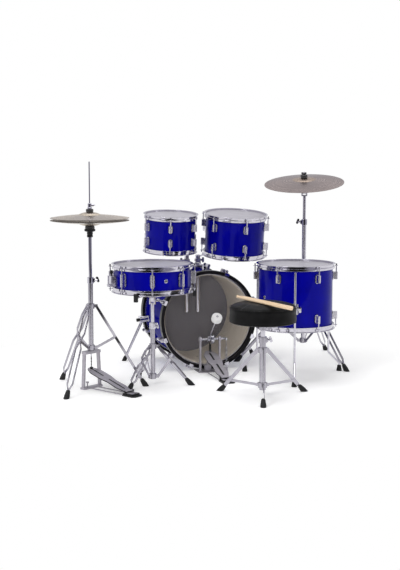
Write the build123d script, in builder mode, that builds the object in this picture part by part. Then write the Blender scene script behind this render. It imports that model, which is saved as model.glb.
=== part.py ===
from build123d import *
import math
import os

os.makedirs("parts", exist_ok=True)

# An acoustic drum kit, in millimetres. The floor is Z = 0, +X is the drummer's right and +Y points
# away from the drummer, along the bass drum. The origin is below the middle of the kit.

# Places on the floor, all from the middle of the bass drum's batter hoop
bass_x = 22.3
bass_y = 254.3
throne_x = bass_x + 41.2
throne_y = bass_y - 665.8
hihat_x = bass_x - 654.0
hihat_y = bass_y - 264.0
snare_x = bass_x - 362.0
snare_y = bass_y - 270.0
floor_tom_x = bass_x + 350.5
floor_tom_y = bass_y - 274.0
crash_x = bass_x + 538.0
crash_y = bass_y + 88.0
tom_left_x = bass_x - 128.0
tom_left_y = bass_y + 255.0
tom_right_x = bass_x + 213.0
tom_right_y = bass_y + 239.0
stool_view = -107.0

# Fits between pieces
slide_gap = 0.1
pin_gap = 0.05
seat_gap = 0.1
loose_gap = 0.5

# Drum shells
bass_radius = 228.6
bass_depth = 355.6
bass_wall = 8.0
bass_hoop_wall = 18.4
bass_hoop_radius = bass_radius + bass_hoop_wall
bass_lift = 3.2
bass_z = bass_hoop_radius + bass_lift
bass_top_z = bass_z + bass_radius
tom_left_radius = 127.0
tom_left_depth = 177.8
tom_right_radius = 152.4
tom_right_depth = 203.2
floor_tom_radius = 177.8
floor_tom_depth = 296.0
snare_radius = 177.8
snare_depth = 114.3
shell_wall = 7.0
bearing_edge = 3.0
vent_radius = 5.5
vent_flange = 9.0

# Heights and leans of the drums, in degrees toward the stool and to the drummer's right
tom_left_z = bass_top_z + 192.2
tom_left_lean = 5.0
tom_left_roll = 1.7
tom_right_z = bass_top_z + 176.2
tom_right_lean = 6.0
tom_right_roll = 2.6
floor_tom_z = 396.5
snare_z = 507.0

# Drumheads
film = 0.6
collar_gap = 0.6
flesh_drop = 6.0
flesh_height = 6.0
flesh_width = 6.0

# Pressed steel hoops
hoop_sheet = 1.8
hoop_rise = 9.0
hoop_flange = 13.0
hoop_wall_gap = 1.0
hoop_skirt = 9.0
ear_radius = 8.0

# Wooden bass hoops and their claws
bass_hoop_width = 38.0
bass_hoop_overlap = 10.0
claw_width = 24.0
claw_sheet = 3.5
claw_lip = 11.0

# Lugs and tension rods
rod_radius = 2.9
rod_collar_radius = 5.5
rod_collar_height = 2.0
rod_key = 6.2
rod_key_height = 8.0
rod_stand = 18.0
bass_rod_stand = 28.4
rod_grip = 18.0
lug_length = 42.0
lug_width = 20.0
lug_drop = 32.0
lug_pad = 4.0
lug_tower = 13.0
lug_wall = 4.2
snare_lug_length = 62.0
tom_lugs = 6
snare_lugs = 8
bass_lugs = 8
tom_left_lug_turn = -105.6
tom_right_lug_turn = -148.7
floor_tom_lug_turn = -137.5
snare_lug_turn = -104.7
bass_lug_turn = 22.5

# Tubes, clamps and wing screws
base_tube_radius = 11.1
post_radius = 8.0
clamp_radius = 15.0
clamp_grip = 20.0
clamp_cap = 8.0
clamp_ear = 6.0
clamp_ear_width = 14.0
clamp_ear_height = 18.0
clamp_screw_tilt = 20.0
wing_hub_radius = 5.0
wing_hub_height = 11.0
wing_span = 28.0
wing_height = 12.0
wing_sheet = 3.6

# Tripods
collar_radius = 17.0
collar_height = 24.0
pivot_reach = 25.0
ear_sheet = 5.0
strip_sheet = 3.0
strip_width = 12.0
strip_bulge = 13.0
brace_sheet = 2.6
brace_share = 0.42
throne_brace_share = 0.85
foot_length = 40.0
foot_top_radius = 8.0
foot_radius = 13.0
hihat_pivot_z = 383.0
hihat_brace_z = 190.0
hihat_reach = 253.0
hihat_turn = -128.0
hihat_clamp_z = 508.0
hihat_clamp_turn = -17.0
crash_pivot_z = 365.0
crash_brace_z = 108.0
crash_reach = 347.0
crash_turn = -73.0
crash_clamp_z = 728.0
crash_clamp_turn = 163.0
snare_pivot_z = 182.0
snare_brace_z = 40.0
snare_reach = 183.0
snare_turn = -142.0
snare_clamp_z = 285.0
snare_clamp_turn = -62.0
throne_pivot_z = 210.0
throne_brace_z = 51.0
throne_reach = 223.0
throne_turn = -109.0
throne_clamp_z = 262.0
throne_clamp_turn = -37.0
throne_tube_radius = 14.3
throne_post_radius = 11.0
throne_bar_width = 17.0
tube_tail = 14.0


def placed(plane, *pieces):
    """Return copies of pieces that were made about the origin, moved into a plane's frame."""
    return [plane.location * piece for piece in pieces]


def save(name, *pieces):
    """Write one node, with its pieces side by side as separate solids."""
    node = pieces[0] if len(pieces) == 1 else Compound(children=list(pieces))
    node.label = name
    export_step(node, f"parts/{name}.step")


def around(pieces, count, turn):
    """Return copies of pieces spread evenly about the Z axis, the first at a turn in degrees."""
    step = 360 / count
    return [Rot(0, 0, turn + index * step) * piece for index in range(count) for piece in pieces]


def upright(x, y, z=0.0, turn=0.0):
    """Return the plane at a point with its Z axis up and its X axis at a turn in degrees."""
    return Plane(origin=(x, y, z)).rotated((0, 0, turn))


def outward(turn, reach, height=0.0):
    """Return the plane that faces away from the Z axis, with its Y axis up."""
    facing = Vector(1, 0, 0).rotate(Axis.Z, turn)
    sideways = Vector(0, 1, 0).rotate(Axis.Z, turn)
    return Plane(origin=facing * reach + Vector(0, 0, height), x_dir=sideways, z_dir=facing)


def leaning(x, y, z, lean, roll):
    """Return the frame of a drum that leans toward the stool and rolls to the right."""
    toward = Vector(1, 0, 0).rotate(Axis.Z, stool_view)
    right = Vector(1, 0, 0).rotate(Axis.Z, stool_view + 90)
    axis = Vector(0, 0, 1) + toward * math.tan(math.radians(lean)) + right * math.tan(math.radians(roll))
    level = Vector(1, 0, 0) - axis * (axis.X / axis.dot(axis))
    return Plane(origin=(x, y, z), x_dir=level, z_dir=axis)


def rod(start, end, radius, bore=0.0):
    """Make a round bar, or a tube with a bore, from one point to another."""
    run = Vector(end) - Vector(start)
    with BuildPart() as piece:
        with BuildSketch(Plane(origin=start, z_dir=run)):
            Circle(radius)
            if bore:
                Circle(bore, mode=Mode.SUBTRACT)
        extrude(amount=run.length)
    return piece.part


def turned(*outline):
    """Revolve a closed outline of (radius, height) points about the Z axis."""
    with BuildPart() as piece:
        with BuildSketch(Plane.XZ):
            with BuildLine():
                Polyline(*outline, close=True)
            make_face()
        revolve(axis=Axis.Z)
    return piece.part


def bent_rod(points, bend, radius):
    """Make a round bar along straight runs joined by bends."""
    with BuildPart() as piece:
        with BuildLine() as path:
            FilletPolyline(*points, radius=bend)
        with BuildSketch(Plane(origin=points[0], z_dir=path.line % 0)):
            Circle(radius)
        sweep(path=path.line)
    return piece.part


def plate(low, high):
    """Make a block between two opposite corners."""
    centre = (Vector(low) + Vector(high)) * 0.5
    size = Vector(high) - Vector(low)
    with BuildPart() as piece:
        with Locations(centre):
            Box(size.X, size.Y, size.Z)
    return piece.part


def wing_screw():
    """Make a wing screw that stands on the XY plane."""
    with BuildPart() as piece:
        with BuildSketch():
            Circle(wing_hub_radius)
        extrude(amount=wing_hub_height)
        with BuildSketch(Plane.XZ):
            with Locations((0, wing_hub_height)):
                SlotOverall(wing_span, wing_height)
        extrude(amount=wing_sheet / 2, both=True)
    return piece.part


def height_clamp(tube_radius, inner_radius, top):
    """Make the clamp that caps a base tube at a height and grips the tube inside, with its wing screw."""
    grip_bore = tube_radius + seat_gap
    cap_bore = inner_radius + slide_gap
    wall = tube_radius + clamp_radius - base_tube_radius
    ear_end = wall + clamp_ear
    ear_z = top + (clamp_cap - clamp_grip) / 2
    tilt = math.radians(clamp_screw_tilt)
    with BuildPart() as body:
        with BuildSketch(Plane.XY.offset(top - clamp_grip)):
            Circle(wall)
        extrude(amount=clamp_grip + clamp_cap)
        with Locations((ear_end / 2, 0, ear_z)):
            Box(ear_end, clamp_ear_width, clamp_ear_height)
        with BuildSketch(Plane.XY.offset(top - clamp_grip)):
            Circle(grip_bore)
        extrude(amount=clamp_grip + seat_gap, mode=Mode.SUBTRACT)
        with BuildSketch(Plane.XY.offset(top)):
            Circle(cap_bore)
        extrude(amount=clamp_cap, mode=Mode.SUBTRACT)
        fillet(body.edges().filter_by(Axis.Z).sort_by(Axis.X)[-2:], 3)
    screw_seat = Plane(
        origin=(ear_end + wing_hub_radius * math.sin(tilt) + seat_gap, 0, ear_z),
        x_dir=(-math.sin(tilt), 0, math.cos(tilt)),
        z_dir=(math.cos(tilt), 0, math.sin(tilt)),
    )
    return [body.part, *placed(screw_seat, wing_screw())]


def rubber_foot(pivot, ground):
    """Make the rubber boot on the end of a leg, cut flat on the floor, and return where the leg ends."""
    aim = (Vector(ground) - Vector(pivot)).normalized()
    top = Vector(ground) - aim * foot_length
    boot = turned(
        (0, 0),
        (foot_top_radius, 0),
        (foot_top_radius + 2, foot_length * 0.15),
        (foot_radius, foot_length * 0.7),
        (foot_radius, foot_length * 1.5),
        (0, foot_length * 1.5),
    )
    with BuildPart() as piece:
        add(placed(Plane(origin=top, z_dir=aim), boot))
        split(bisect_by=Plane.XY, keep=Keep.TOP)
    return piece.part, top


def leg_strip(pivot, end, side, share, spread):
    """Make one of a leg's two strips: pinched at the collar, at the brace and at the foot."""
    run = Vector(end) - Vector(pivot)
    length = run.length
    at_collar = ear_sheet / 2 + seat_gap * 2 + strip_sheet / 2
    at_brace = brace_sheet / 2 + seat_gap * 2 + strip_sheet / 2
    at_foot = strip_sheet / 2 + seat_gap * 2
    line = [
        (-strip_width * 0.5, at_collar),
        (strip_width, at_collar),
        (length * 0.13, spread),
        (length * (share - 0.09), spread),
        (length * share - strip_width * 0.6, at_brace),
        (length * share + strip_width * 0.6, at_brace),
        (length * (share + 0.09), spread),
        (length * 0.93, spread),
        (length, at_foot),
    ]
    outer = [(reach, side * (offset + strip_sheet / 2)) for reach, offset in line]
    inner = [(reach, side * (offset - strip_sheet / 2)) for reach, offset in reversed(line)]
    with BuildPart() as piece:
        with BuildSketch(Plane(origin=pivot, x_dir=run, z_dir=run.cross(Vector(0, 1, 0)))):
            with BuildLine():
                Polyline(*outer, *inner, close=True)
            make_face()
        extrude(amount=strip_width / 2, both=True)
    return piece.part


def flat_bar(start, end, width, sheet, shift=0.0):
    """Make a flat bar with round ends between two points of the XZ plane, shifted along Y."""
    run = Vector(end) - Vector(start)
    with BuildPart() as piece:
        with BuildSketch(Plane(origin=Vector(start) + Vector(0, shift, 0), x_dir=run, z_dir=(0, 1, 0))):
            with Locations((run.length / 2, 0)):
                SlotCenterToCenter(run.length, width)
        extrude(amount=sheet / 2, both=True)
    return piece.part


def leg_collar(tube_radius, height, ear_gap, ear):
    """Make a collar on a tube with three forked or plain ears that carry pivots."""
    wall = tube_radius + collar_radius - base_tube_radius
    with BuildPart() as piece:
        with BuildSketch(Plane.XY.offset(height - collar_height / 2)):
            Circle(wall)
        extrude(amount=collar_height)
        with PolarLocations(0, 3):
            for side in ((1, -1) if ear_gap else (0,)):
                with Locations(((wall + pivot_reach + ear) / 2, side * (ear_gap + ear) / 2, height)):
                    Box(pivot_reach + ear - wall + 4, ear, collar_height * 0.6)
        with BuildSketch(Plane.XY.offset(height - collar_height / 2)):
            Circle(tube_radius + seat_gap)
        extrude(amount=collar_height, mode=Mode.SUBTRACT)
    return piece.part


def tripod(pivot_z, brace_z, reach, turn, tube_radius, inner_radius, foot_z, top, clamp_turn, paired):
    """Make a tripod's base tube, collars, legs, braces and clamp, and its rubber feet, about the Z axis."""
    pivot = (pivot_reach, 0, pivot_z)
    boot, leg_end = rubber_foot(pivot, (reach, 0, 0))
    knee = Vector(pivot) + (leg_end - Vector(pivot)) * (brace_share if paired else throne_brace_share)
    low_pivot = (pivot_reach, 0, brace_z)
    fork_gap = brace_sheet + 4 * seat_gap
    if paired:
        leg = [leg_strip(pivot, leg_end, side, brace_share, strip_bulge) for side in (1, -1)]
        brace = flat_bar(low_pivot, knee, strip_width, brace_sheet)
    else:
        beside = ear_sheet / 2 + seat_gap * 2 + strip_sheet / 2
        heel = leg_end - (leg_end - Vector(pivot)).normalized() * throne_bar_width / 2
        leg = [flat_bar(pivot, heel, throne_bar_width, strip_sheet, beside)]
        leg_inside = beside - strip_sheet / 2 - seat_gap * 2
        brace = flat_bar(low_pivot, knee, strip_width, brace_sheet, leg_inside - brace_sheet / 2)
        fork_gap = 2 * leg_inside
    tube = rod((0, 0, foot_z), (0, 0, top), tube_radius, inner_radius + slide_gap)
    upper_collar = leg_collar(tube_radius, pivot_z, 0.0, ear_sheet)
    lower_collar = leg_collar(tube_radius, brace_z, fork_gap, strip_sheet)
    spread = around([*leg, brace], 3, 0)
    clamp = [Rot(0, 0, clamp_turn - turn) * piece for piece in height_clamp(tube_radius, inner_radius, top)]
    metal = [tube, upper_collar, lower_collar, *spread, *clamp]
    frame = Plane.XY.rotated((0, 0, turn))
    return placed(frame, *metal), placed(frame, *around([boot], 3, 0))


def shell(radius, depth, wall, vent_turn):
    """Make a drum shell with bevelled bearing edges and an air vent."""
    with BuildPart() as piece:
        Cylinder(radius, depth)
        Cylinder(radius - wall, depth, mode=Mode.SUBTRACT)
        inner_rims = piece.edges().filter_by(GeomType.CIRCLE).sort_by(SortBy.RADIUS)[:2]
        chamfer(inner_rims, bearing_edge)
        with BuildSketch(outward(vent_turn, radius - wall - 1)):
            Circle(vent_radius + seat_gap)
        extrude(amount=wall + 2, mode=Mode.SUBTRACT)
    return piece.part


def vent(radius, wall, turn):
    """Make the metal grommet that lines a shell's air vent."""
    sagitta = radius - math.sqrt(radius**2 - vent_flange**2)
    seat = sagitta + seat_gap
    grommet = turned(
        (vent_radius - 1.2, -wall),
        (vent_radius, -wall),
        (vent_radius, seat),
        (vent_flange, seat),
        (vent_flange - 0.6, seat + 1.2),
        (vent_radius - 1.2, seat + 1.2),
    )
    return placed(outward(turn, radius), grommet)


def drumhead(radius, edge, flesh):
    """Make a drumhead over the bearing edge at +Z: its film, its collar and its flesh hoop."""
    under = edge + seat_gap
    rim = radius + collar_gap
    return turned(
        (0, under),
        (rim, under),
        (rim, edge - flesh_drop - flesh_height),
        (rim + flesh, edge - flesh_drop - flesh_height),
        (rim + flesh, edge - flesh_drop),
        (rim + film, edge - flesh_drop),
        (rim + film, under + film),
        (0, under + film),
    )


def flanged_hoop(radius, edge, count, turn):
    """Make a pressed steel hoop that holds the head at +Z, with an ear for each tension rod."""
    inside = radius + collar_gap + film + hoop_wall_gap
    low = edge - flesh_drop + seat_gap
    top = edge + hoop_rise
    skirt = radius + collar_gap + flesh_width + loose_gap + hoop_sheet
    flange = radius + hoop_flange
    rod_line = radius + rod_stand
    with BuildPart() as piece:
        with BuildSketch(Plane.XZ):
            with BuildLine():
                Polyline(
                    (inside, low),
                    (inside, top),
                    (flange, top),
                    (flange, top - hoop_sheet),
                    (inside + hoop_sheet, top - hoop_sheet),
                    (inside + hoop_sheet, low + hoop_sheet),
                    (skirt, low + hoop_sheet),
                    (skirt, low - hoop_skirt),
                    (skirt - hoop_sheet, low - hoop_skirt),
                    (skirt - hoop_sheet, low),
                    close=True,
                )
            make_face()
        revolve(axis=Axis.Z)
        with BuildSketch(Plane.XY.offset(low)):
            with PolarLocations((skirt - hoop_sheet + rod_line) / 2, count, turn):
                Rectangle(rod_line - skirt + hoop_sheet, 2 * ear_radius)
            with PolarLocations(rod_line, count, turn):
                Circle(ear_radius)
                Circle(rod_radius + loose_gap, mode=Mode.SUBTRACT)
        extrude(amount=hoop_sheet)
    return piece.part


def tension_rod(reach):
    """Make a tension rod whose collar sits on the XY plane, with a square key head above it."""
    with BuildPart() as piece:
        with BuildSketch(Plane.XY.offset(-reach)):
            Circle(rod_radius)
        extrude(amount=reach)
        with BuildSketch():
            Circle(rod_collar_radius)
        extrude(amount=rod_collar_height)
        with BuildSketch(Plane.XY.offset(rod_collar_height)):
            Rectangle(rod_key, rod_key)
        extrude(amount=rod_key_height)
    return piece.part


def lug(radius, stand, length, both_ends):
    """Make a lug on the +X side of a shell, with a bore for a rod from above, or one from each end."""
    rod_line = radius + stand
    face = rod_line + rod_radius + lug_wall
    low = -length / 2 + (lug_pad if not both_ends else lug_pad / 2)
    high = length / 2 - lug_pad / 2
    with BuildPart() as piece:
        with BuildSketch(outward(0, radius - lug_pad)):
            SlotOverall(length, lug_width, rotation=90)
        extrude(amount=2 * lug_pad)
        with BuildSketch(Plane.XY.offset(low)):
            with Locations(((radius + face) / 2, 0)):
                Rectangle(face - radius, lug_tower)
        extrude(amount=high - low)
        fillet(piece.edges().filter_by(Axis.Z).sort_by(Axis.X)[-2:], lug_tower * 0.4)
        for end in ((1, -1) if both_ends else (1,)):
            with BuildSketch(Plane(origin=(rod_line, 0, end * length), z_dir=(0, 0, -end))):
                Circle(rod_radius + loose_gap)
            extrude(amount=length / 2 + rod_grip + 2, mode=Mode.SUBTRACT)
        with BuildSketch(Plane.XY.offset(-length)):
            Circle(radius + seat_gap)
        extrude(amount=2 * length, mode=Mode.SUBTRACT)
    return piece.part


def tension_set(radius, depth, count, turn, double):
    """Make a drum's lugs and tension rods, for both heads."""
    edge = depth / 2
    seat = edge - flesh_drop + seat_gap + hoop_sheet
    stand = radius + rod_stand
    if double:
        reach = seat - snare_lug_length / 2 + rod_grip
        middle = [lug(radius, rod_stand, snare_lug_length, True)]
        half = [Pos(stand, 0, seat) * tension_rod(reach)]
    else:
        lug_z = edge - lug_drop - lug_length / 2
        reach = seat - lug_z - lug_length / 2 + rod_grip
        middle = []
        half = [Pos(0, 0, lug_z) * lug(radius, rod_stand, lug_length, False)]
        half.append(Pos(stand, 0, seat) * tension_rod(reach))
    other_half = [Rot(180, 0, 0) * piece for piece in half]
    return around([*middle, *half, *other_half], count, turn)


def drum(name, frame, radius, depth, count, turn, double, vent_turn, extra=()):
    """Write a drum's shell, heads, hoops and tension hardware at a frame."""
    edge = depth / 2
    over = Rot(180, 0, 0)
    head = drumhead(radius, edge, flesh_width)
    top_hoop = flanged_hoop(radius, edge, count, turn)
    low_hoop = over * flanged_hoop(radius, edge, count, -turn)
    hardware = tension_set(radius, depth, count, turn, double) + vent(radius, shell_wall, vent_turn)
    save(f"{name}_shell", *placed(frame, shell(radius, depth, shell_wall, vent_turn)))
    save(f"{name}_heads", *placed(frame, head, over * head))
    save(f"{name}_hoops", *placed(frame, top_hoop, low_hoop))
    save(f"{name}_tension_hardware", *placed(frame, *hardware), *extra)


def cymbal(radius, bell_radius, bell_rise, bow_rise, sheet, hole):
    """Make a cymbal with its edge on the XY plane and its bell up."""
    crown = bow_rise + bell_rise
    bell_mid = (hole + bell_radius) / 2
    bow_mid = (bell_radius + radius) / 2
    with BuildPart() as piece:
        with BuildSketch(Plane.XZ):
            with BuildLine():
                ThreePointArc((hole, crown), (bell_mid, bow_rise + bell_rise * 0.78), (bell_radius, bow_rise))
                ThreePointArc((bell_radius, bow_rise), (bow_mid, bow_rise * 0.62), (radius, 0))
                Line((radius, 0), (radius, -sheet))
                ThreePointArc(
                    (radius, -sheet), (bow_mid, bow_rise * 0.62 - sheet), (bell_radius, bow_rise - sheet)
                )
                ThreePointArc(
                    (bell_radius, bow_rise - sheet),
                    (bell_mid, bow_rise + bell_rise * 0.78 - sheet),
                    (hole, crown - sheet),
                )
                Line((hole, crown - sheet), (hole, crown))
            make_face()
        revolve(axis=Axis.Z)
    return piece.part


def washer(radius, bore, low, high, ease):
    """Make a round washer or felt between two heights, its edges eased."""
    return turned(
        (bore, low),
        (radius - ease, low),
        (radius, low + ease),
        (radius, high - ease),
        (radius - ease, high),
        (bore, high),
    )


# Bass drum: the shell lies on its side, its batter head toward the stool
bass_edge = bass_depth / 2
bass_hoop_out = bass_hoop_width - bass_hoop_overlap
bass_middle_y = bass_y + bass_edge + bass_hoop_out
bass_frame = Plane(origin=(bass_x, bass_middle_y, bass_z), x_dir=(1, 0, 0), z_dir=(0, 1, 0))
batter_turn = Rot(180, 0, 0)
bass_head = drumhead(bass_radius, bass_edge, flesh_width)
flesh_rim = bass_radius + collar_gap + flesh_width + loose_gap
bass_hoop_bore = bass_radius + collar_gap + film + hoop_wall_gap
bass_hoop = turned(
    (flesh_rim, bass_edge - bass_hoop_overlap),
    (bass_hoop_radius - 2, bass_edge - bass_hoop_overlap),
    (bass_hoop_radius, bass_edge - bass_hoop_overlap + 2),
    (bass_hoop_radius, bass_edge + bass_hoop_out - 2),
    (bass_hoop_radius - 2, bass_edge + bass_hoop_out),
    (bass_hoop_bore, bass_edge + bass_hoop_out),
    (bass_hoop_bore, bass_edge - flesh_drop + seat_gap),
    (flesh_rim, bass_edge - flesh_drop + seat_gap),
)

# The tom holder's two tubes pass through the top of the bass shell
holder_x = bass_x - 8.0
holder_y = bass_y + 270.0
holder_spacing = 60.0
holder_tube_radius = 11.0
holder_tube_wall = 2.0
holder_tube_low = bass_z + 3.8
holder_block_top = bass_top_z + 23.2
holder_block_x = 112.0
holder_block_y = 58.0
holder_spots = (holder_x - holder_spacing / 2, holder_x + holder_spacing / 2)

with BuildPart() as bass_shell:
    add(placed(bass_frame, shell(bass_radius, bass_depth, bass_wall, 90.0)))
    with BuildSketch(Plane.XY.offset(bass_z)):
        with Locations(*[(x, holder_y) for x in holder_spots]):
            Circle(holder_tube_radius + loose_gap)
    extrude(amount=bass_radius + bass_wall, mode=Mode.SUBTRACT)

save("bass_shell", bass_shell.part)
save("bass_batter_head", *placed(bass_frame, batter_turn * bass_head))
save("bass_resonant_head", *placed(bass_frame, bass_head))
save("bass_hoops", *placed(bass_frame, bass_hoop, batter_turn * bass_hoop))

claw_seat = bass_edge + bass_hoop_out
claw_rod_line = bass_radius + bass_rod_stand
claw_back = bass_hoop_radius + seat_gap
claw_face = claw_back + claw_sheet
claw_ear_low = bass_edge + 4.0
claw_ear_sheet = 5.0

with BuildPart() as claw:
    with BuildSketch(Plane.XZ):
        with BuildLine():
            Polyline(
                (claw_back - 2, bass_edge - bass_hoop_overlap + 4),
                (claw_face, bass_edge - bass_hoop_overlap + 4),
                (claw_face, claw_seat + seat_gap + claw_sheet - 2),
                (claw_face - 2, claw_seat + seat_gap + claw_sheet),
                (bass_hoop_radius - claw_lip, claw_seat + seat_gap + claw_sheet),
                (bass_hoop_radius - claw_lip, claw_seat + seat_gap),
                (claw_back - 2, claw_seat + seat_gap),
                close=True,
            )
        make_face()
    extrude(amount=claw_width / 2, both=True)
    with BuildSketch(Plane.XY.offset(claw_ear_low)):
        with Locations(((claw_face + claw_rod_line) / 2, 0)):
            Rectangle(claw_rod_line - claw_face + 2, 2 * ear_radius)
        with Locations((claw_rod_line, 0)):
            Circle(ear_radius)
    extrude(amount=claw_ear_sheet)
    with BuildSketch(Plane.XY.offset(claw_ear_low)):
        with Locations((claw_rod_line, 0)):
            Circle(rod_radius + loose_gap)
    extrude(amount=claw_ear_sheet, mode=Mode.SUBTRACT)
    with BuildSketch(Plane.XY.offset(0)):
        Circle(bass_hoop_radius + seat_gap)
    extrude(amount=claw_seat + seat_gap, mode=Mode.SUBTRACT)

bass_lug_z = bass_edge - lug_drop - lug_length / 2
bass_rod_seat = claw_ear_low + claw_ear_sheet
bass_rod_reach = bass_rod_seat - bass_lug_z - lug_length / 2 + rod_grip
bass_half = [
    Pos(0, 0, bass_lug_z) * lug(bass_radius, bass_rod_stand, lug_length, False),
    Pos(claw_rod_line, 0, bass_rod_seat) * tension_rod(bass_rod_reach),
    claw.part,
]
bass_halves = bass_half + [Rot(180, 0, 0) * piece for piece in bass_half]
bass_tension = around(bass_halves, bass_lugs, bass_lug_turn) + vent(bass_radius, bass_wall, 90.0)
save("bass_tension_hardware", *placed(bass_frame, *bass_tension))

# Spurs: each folds about the boss of its bracket on the side of the bass shell
spur_drop = 7.0
spur_y = bass_y + 325.0
spur_foot_x = bass_radius + 124.4
spur_foot_y = bass_y + 355.0
spur_boss_radius = 16.0
spur_boss_reach = bass_radius + 37.4
spur_hub_radius = 20.0
spur_hub_width = 14.0
spur_tube_radius = 7.0
spur_bolt_radius = 5.0
spur_knob_radius = 9.0
spur_knob_width = 14.0
spur_pad = (44.0, 30.0)
spur_tip_length = 28.0
spur_tip_radius = 11.0


def spur_bracket(side):
    """Make a spur's bracket on one side of the bass drum: its boss, its bolt and its hand knob."""
    centre = Vector(bass_x, spur_y, bass_z)
    facing = Vector(side * math.cos(math.radians(spur_drop)), 0, -math.sin(math.radians(spur_drop)))
    base = Plane(origin=centre + facing * (bass_radius - 6), x_dir=(0, 1, 0), z_dir=facing)
    hub_end = spur_boss_reach + seat_gap * 3 + spur_hub_width
    with BuildPart() as boss:
        with BuildSketch(base):
            RectangleRounded(*spur_pad, 8)
        extrude(amount=11)
        with BuildSketch(base):
            Circle(spur_boss_radius)
        extrude(amount=spur_boss_reach - bass_radius + 6)
        with BuildSketch(base):
            Circle(spur_bolt_radius)
        extrude(amount=hub_end - bass_radius + 6 + seat_gap * 3)
        with BuildSketch(Plane(origin=(bass_x, spur_y - 60, bass_z), x_dir=(1, 0, 0), z_dir=(0, 1, 0))):
            Circle(bass_radius + seat_gap)
        extrude(amount=120, mode=Mode.SUBTRACT)
    knob_seat = base.offset(hub_end - bass_radius + 6 + seat_gap * 3)
    with BuildPart() as knob:
        with BuildSketch(knob_seat):
            Circle(spur_knob_radius)
        extrude(amount=spur_knob_width)
        chamfer(knob.edges(), 1.5)
    return [boss.part, knob.part]


def spur(side):
    """Make a spur: its hub about the bracket's bolt, its tube and its rubber tip on the floor."""
    facing = Vector(side * math.cos(math.radians(spur_drop)), 0, -math.sin(math.radians(spur_drop)))
    centre = Vector(bass_x, spur_y, bass_z)
    hub = centre + facing * (spur_boss_reach + seat_gap * 3 + spur_hub_width / 2)
    foot = Vector(bass_x + side * spur_foot_x, spur_foot_y, 0)
    aim = foot - hub
    in_plane = (aim - facing * aim.dot(facing)).normalized()
    start = hub + in_plane * spur_hub_radius
    run = (foot - start).normalized()
    tip_top = foot - run * spur_tip_length
    with BuildPart() as tube:
        with BuildSketch(Plane(origin=hub - facing * spur_hub_width / 2, x_dir=(0, 1, 0), z_dir=facing)):
            Circle(spur_hub_radius)
        extrude(amount=spur_hub_width)
        with BuildSketch(Plane(origin=start - run * 6, z_dir=run)):
            Circle(spur_tube_radius)
        extrude(amount=(tip_top - start).length + 6)
        with BuildSketch(Plane(origin=hub - facing * spur_hub_width, x_dir=(0, 1, 0), z_dir=facing)):
            Circle(spur_bolt_radius + pin_gap)
        extrude(amount=spur_hub_width * 2, mode=Mode.SUBTRACT)
    boot = turned(
        (0, 0),
        (spur_tube_radius + 1, 0),
        (spur_tip_radius, spur_tip_length * 0.5),
        (spur_tip_radius, spur_tip_length * 1.6),
        (0, spur_tip_length * 1.6),
    )
    with BuildPart() as tip:
        add(placed(Plane(origin=tip_top, z_dir=run), boot))
        split(bisect_by=Plane.XY, keep=Keep.TOP)
    return tube.part, tip.part


bracket_pieces = []
for side, side_name in ((-1, "left"), (1, "right")):
    bracket_pieces += spur_bracket(side)
    save(f"bass_spur_{side_name}", *spur(side))

with BuildPart() as holder_block:
    with BuildSketch(Plane.XY.offset(bass_z + bass_radius - 40)):
        with Locations((holder_x, holder_y)):
            RectangleRounded(holder_block_x, holder_block_y, 12)
    extrude(amount=holder_block_top - bass_z - bass_radius + 40)
    fillet(holder_block.faces().sort_by(Axis.Z)[-1].edges(), 4)
    with BuildSketch(Plane.XY.offset(bass_z)):
        with Locations(*[(x, holder_y) for x in holder_spots]):
            Circle(holder_tube_radius + slide_gap)
    extrude(amount=bass_radius * 2, mode=Mode.SUBTRACT)
    with BuildSketch(Plane(origin=(bass_x, holder_y - 60, bass_z), x_dir=(1, 0, 0), z_dir=(0, 1, 0))):
        Circle(bass_radius + seat_gap)
    extrude(amount=120, mode=Mode.SUBTRACT)

holder_screw_z = holder_block_top - 11.0
holder_screws = []
for side in (-1, 1):
    screw_seat = Plane(
        origin=(holder_x + side * holder_block_x / 2, holder_y, holder_screw_z),
        x_dir=(0, 1, 0),
        z_dir=(side, 0, 0),
    )
    holder_screws += placed(screw_seat, wing_screw())
save("bass_brackets", *bracket_pieces, holder_block.part, *holder_screws)

# Rack toms: each hangs on a bent arm, in a tilter on top of one of the holder's tubes
tilter_pin_z = holder_block_top + 22.0
tilter_arm_z = tilter_pin_z + 16.0
tilter_head = 18.0
tilter_cheek = 5.0
tilter_pin_radius = 3.5
tilter_depth = 26.0
tilter_neck_z = holder_block_top + 8.0
arm_radius = 5.25
arm_stand = 34.0
arm_bend = 20.0
mount_length = 46.0
mount_width = 34.0
mount_wall = 7.0
tom_left_mount_turn = 43.0
tom_right_mount_turn = 123.0
tom_left_vent_turn = 163.0
tom_right_vent_turn = 3.0


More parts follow.
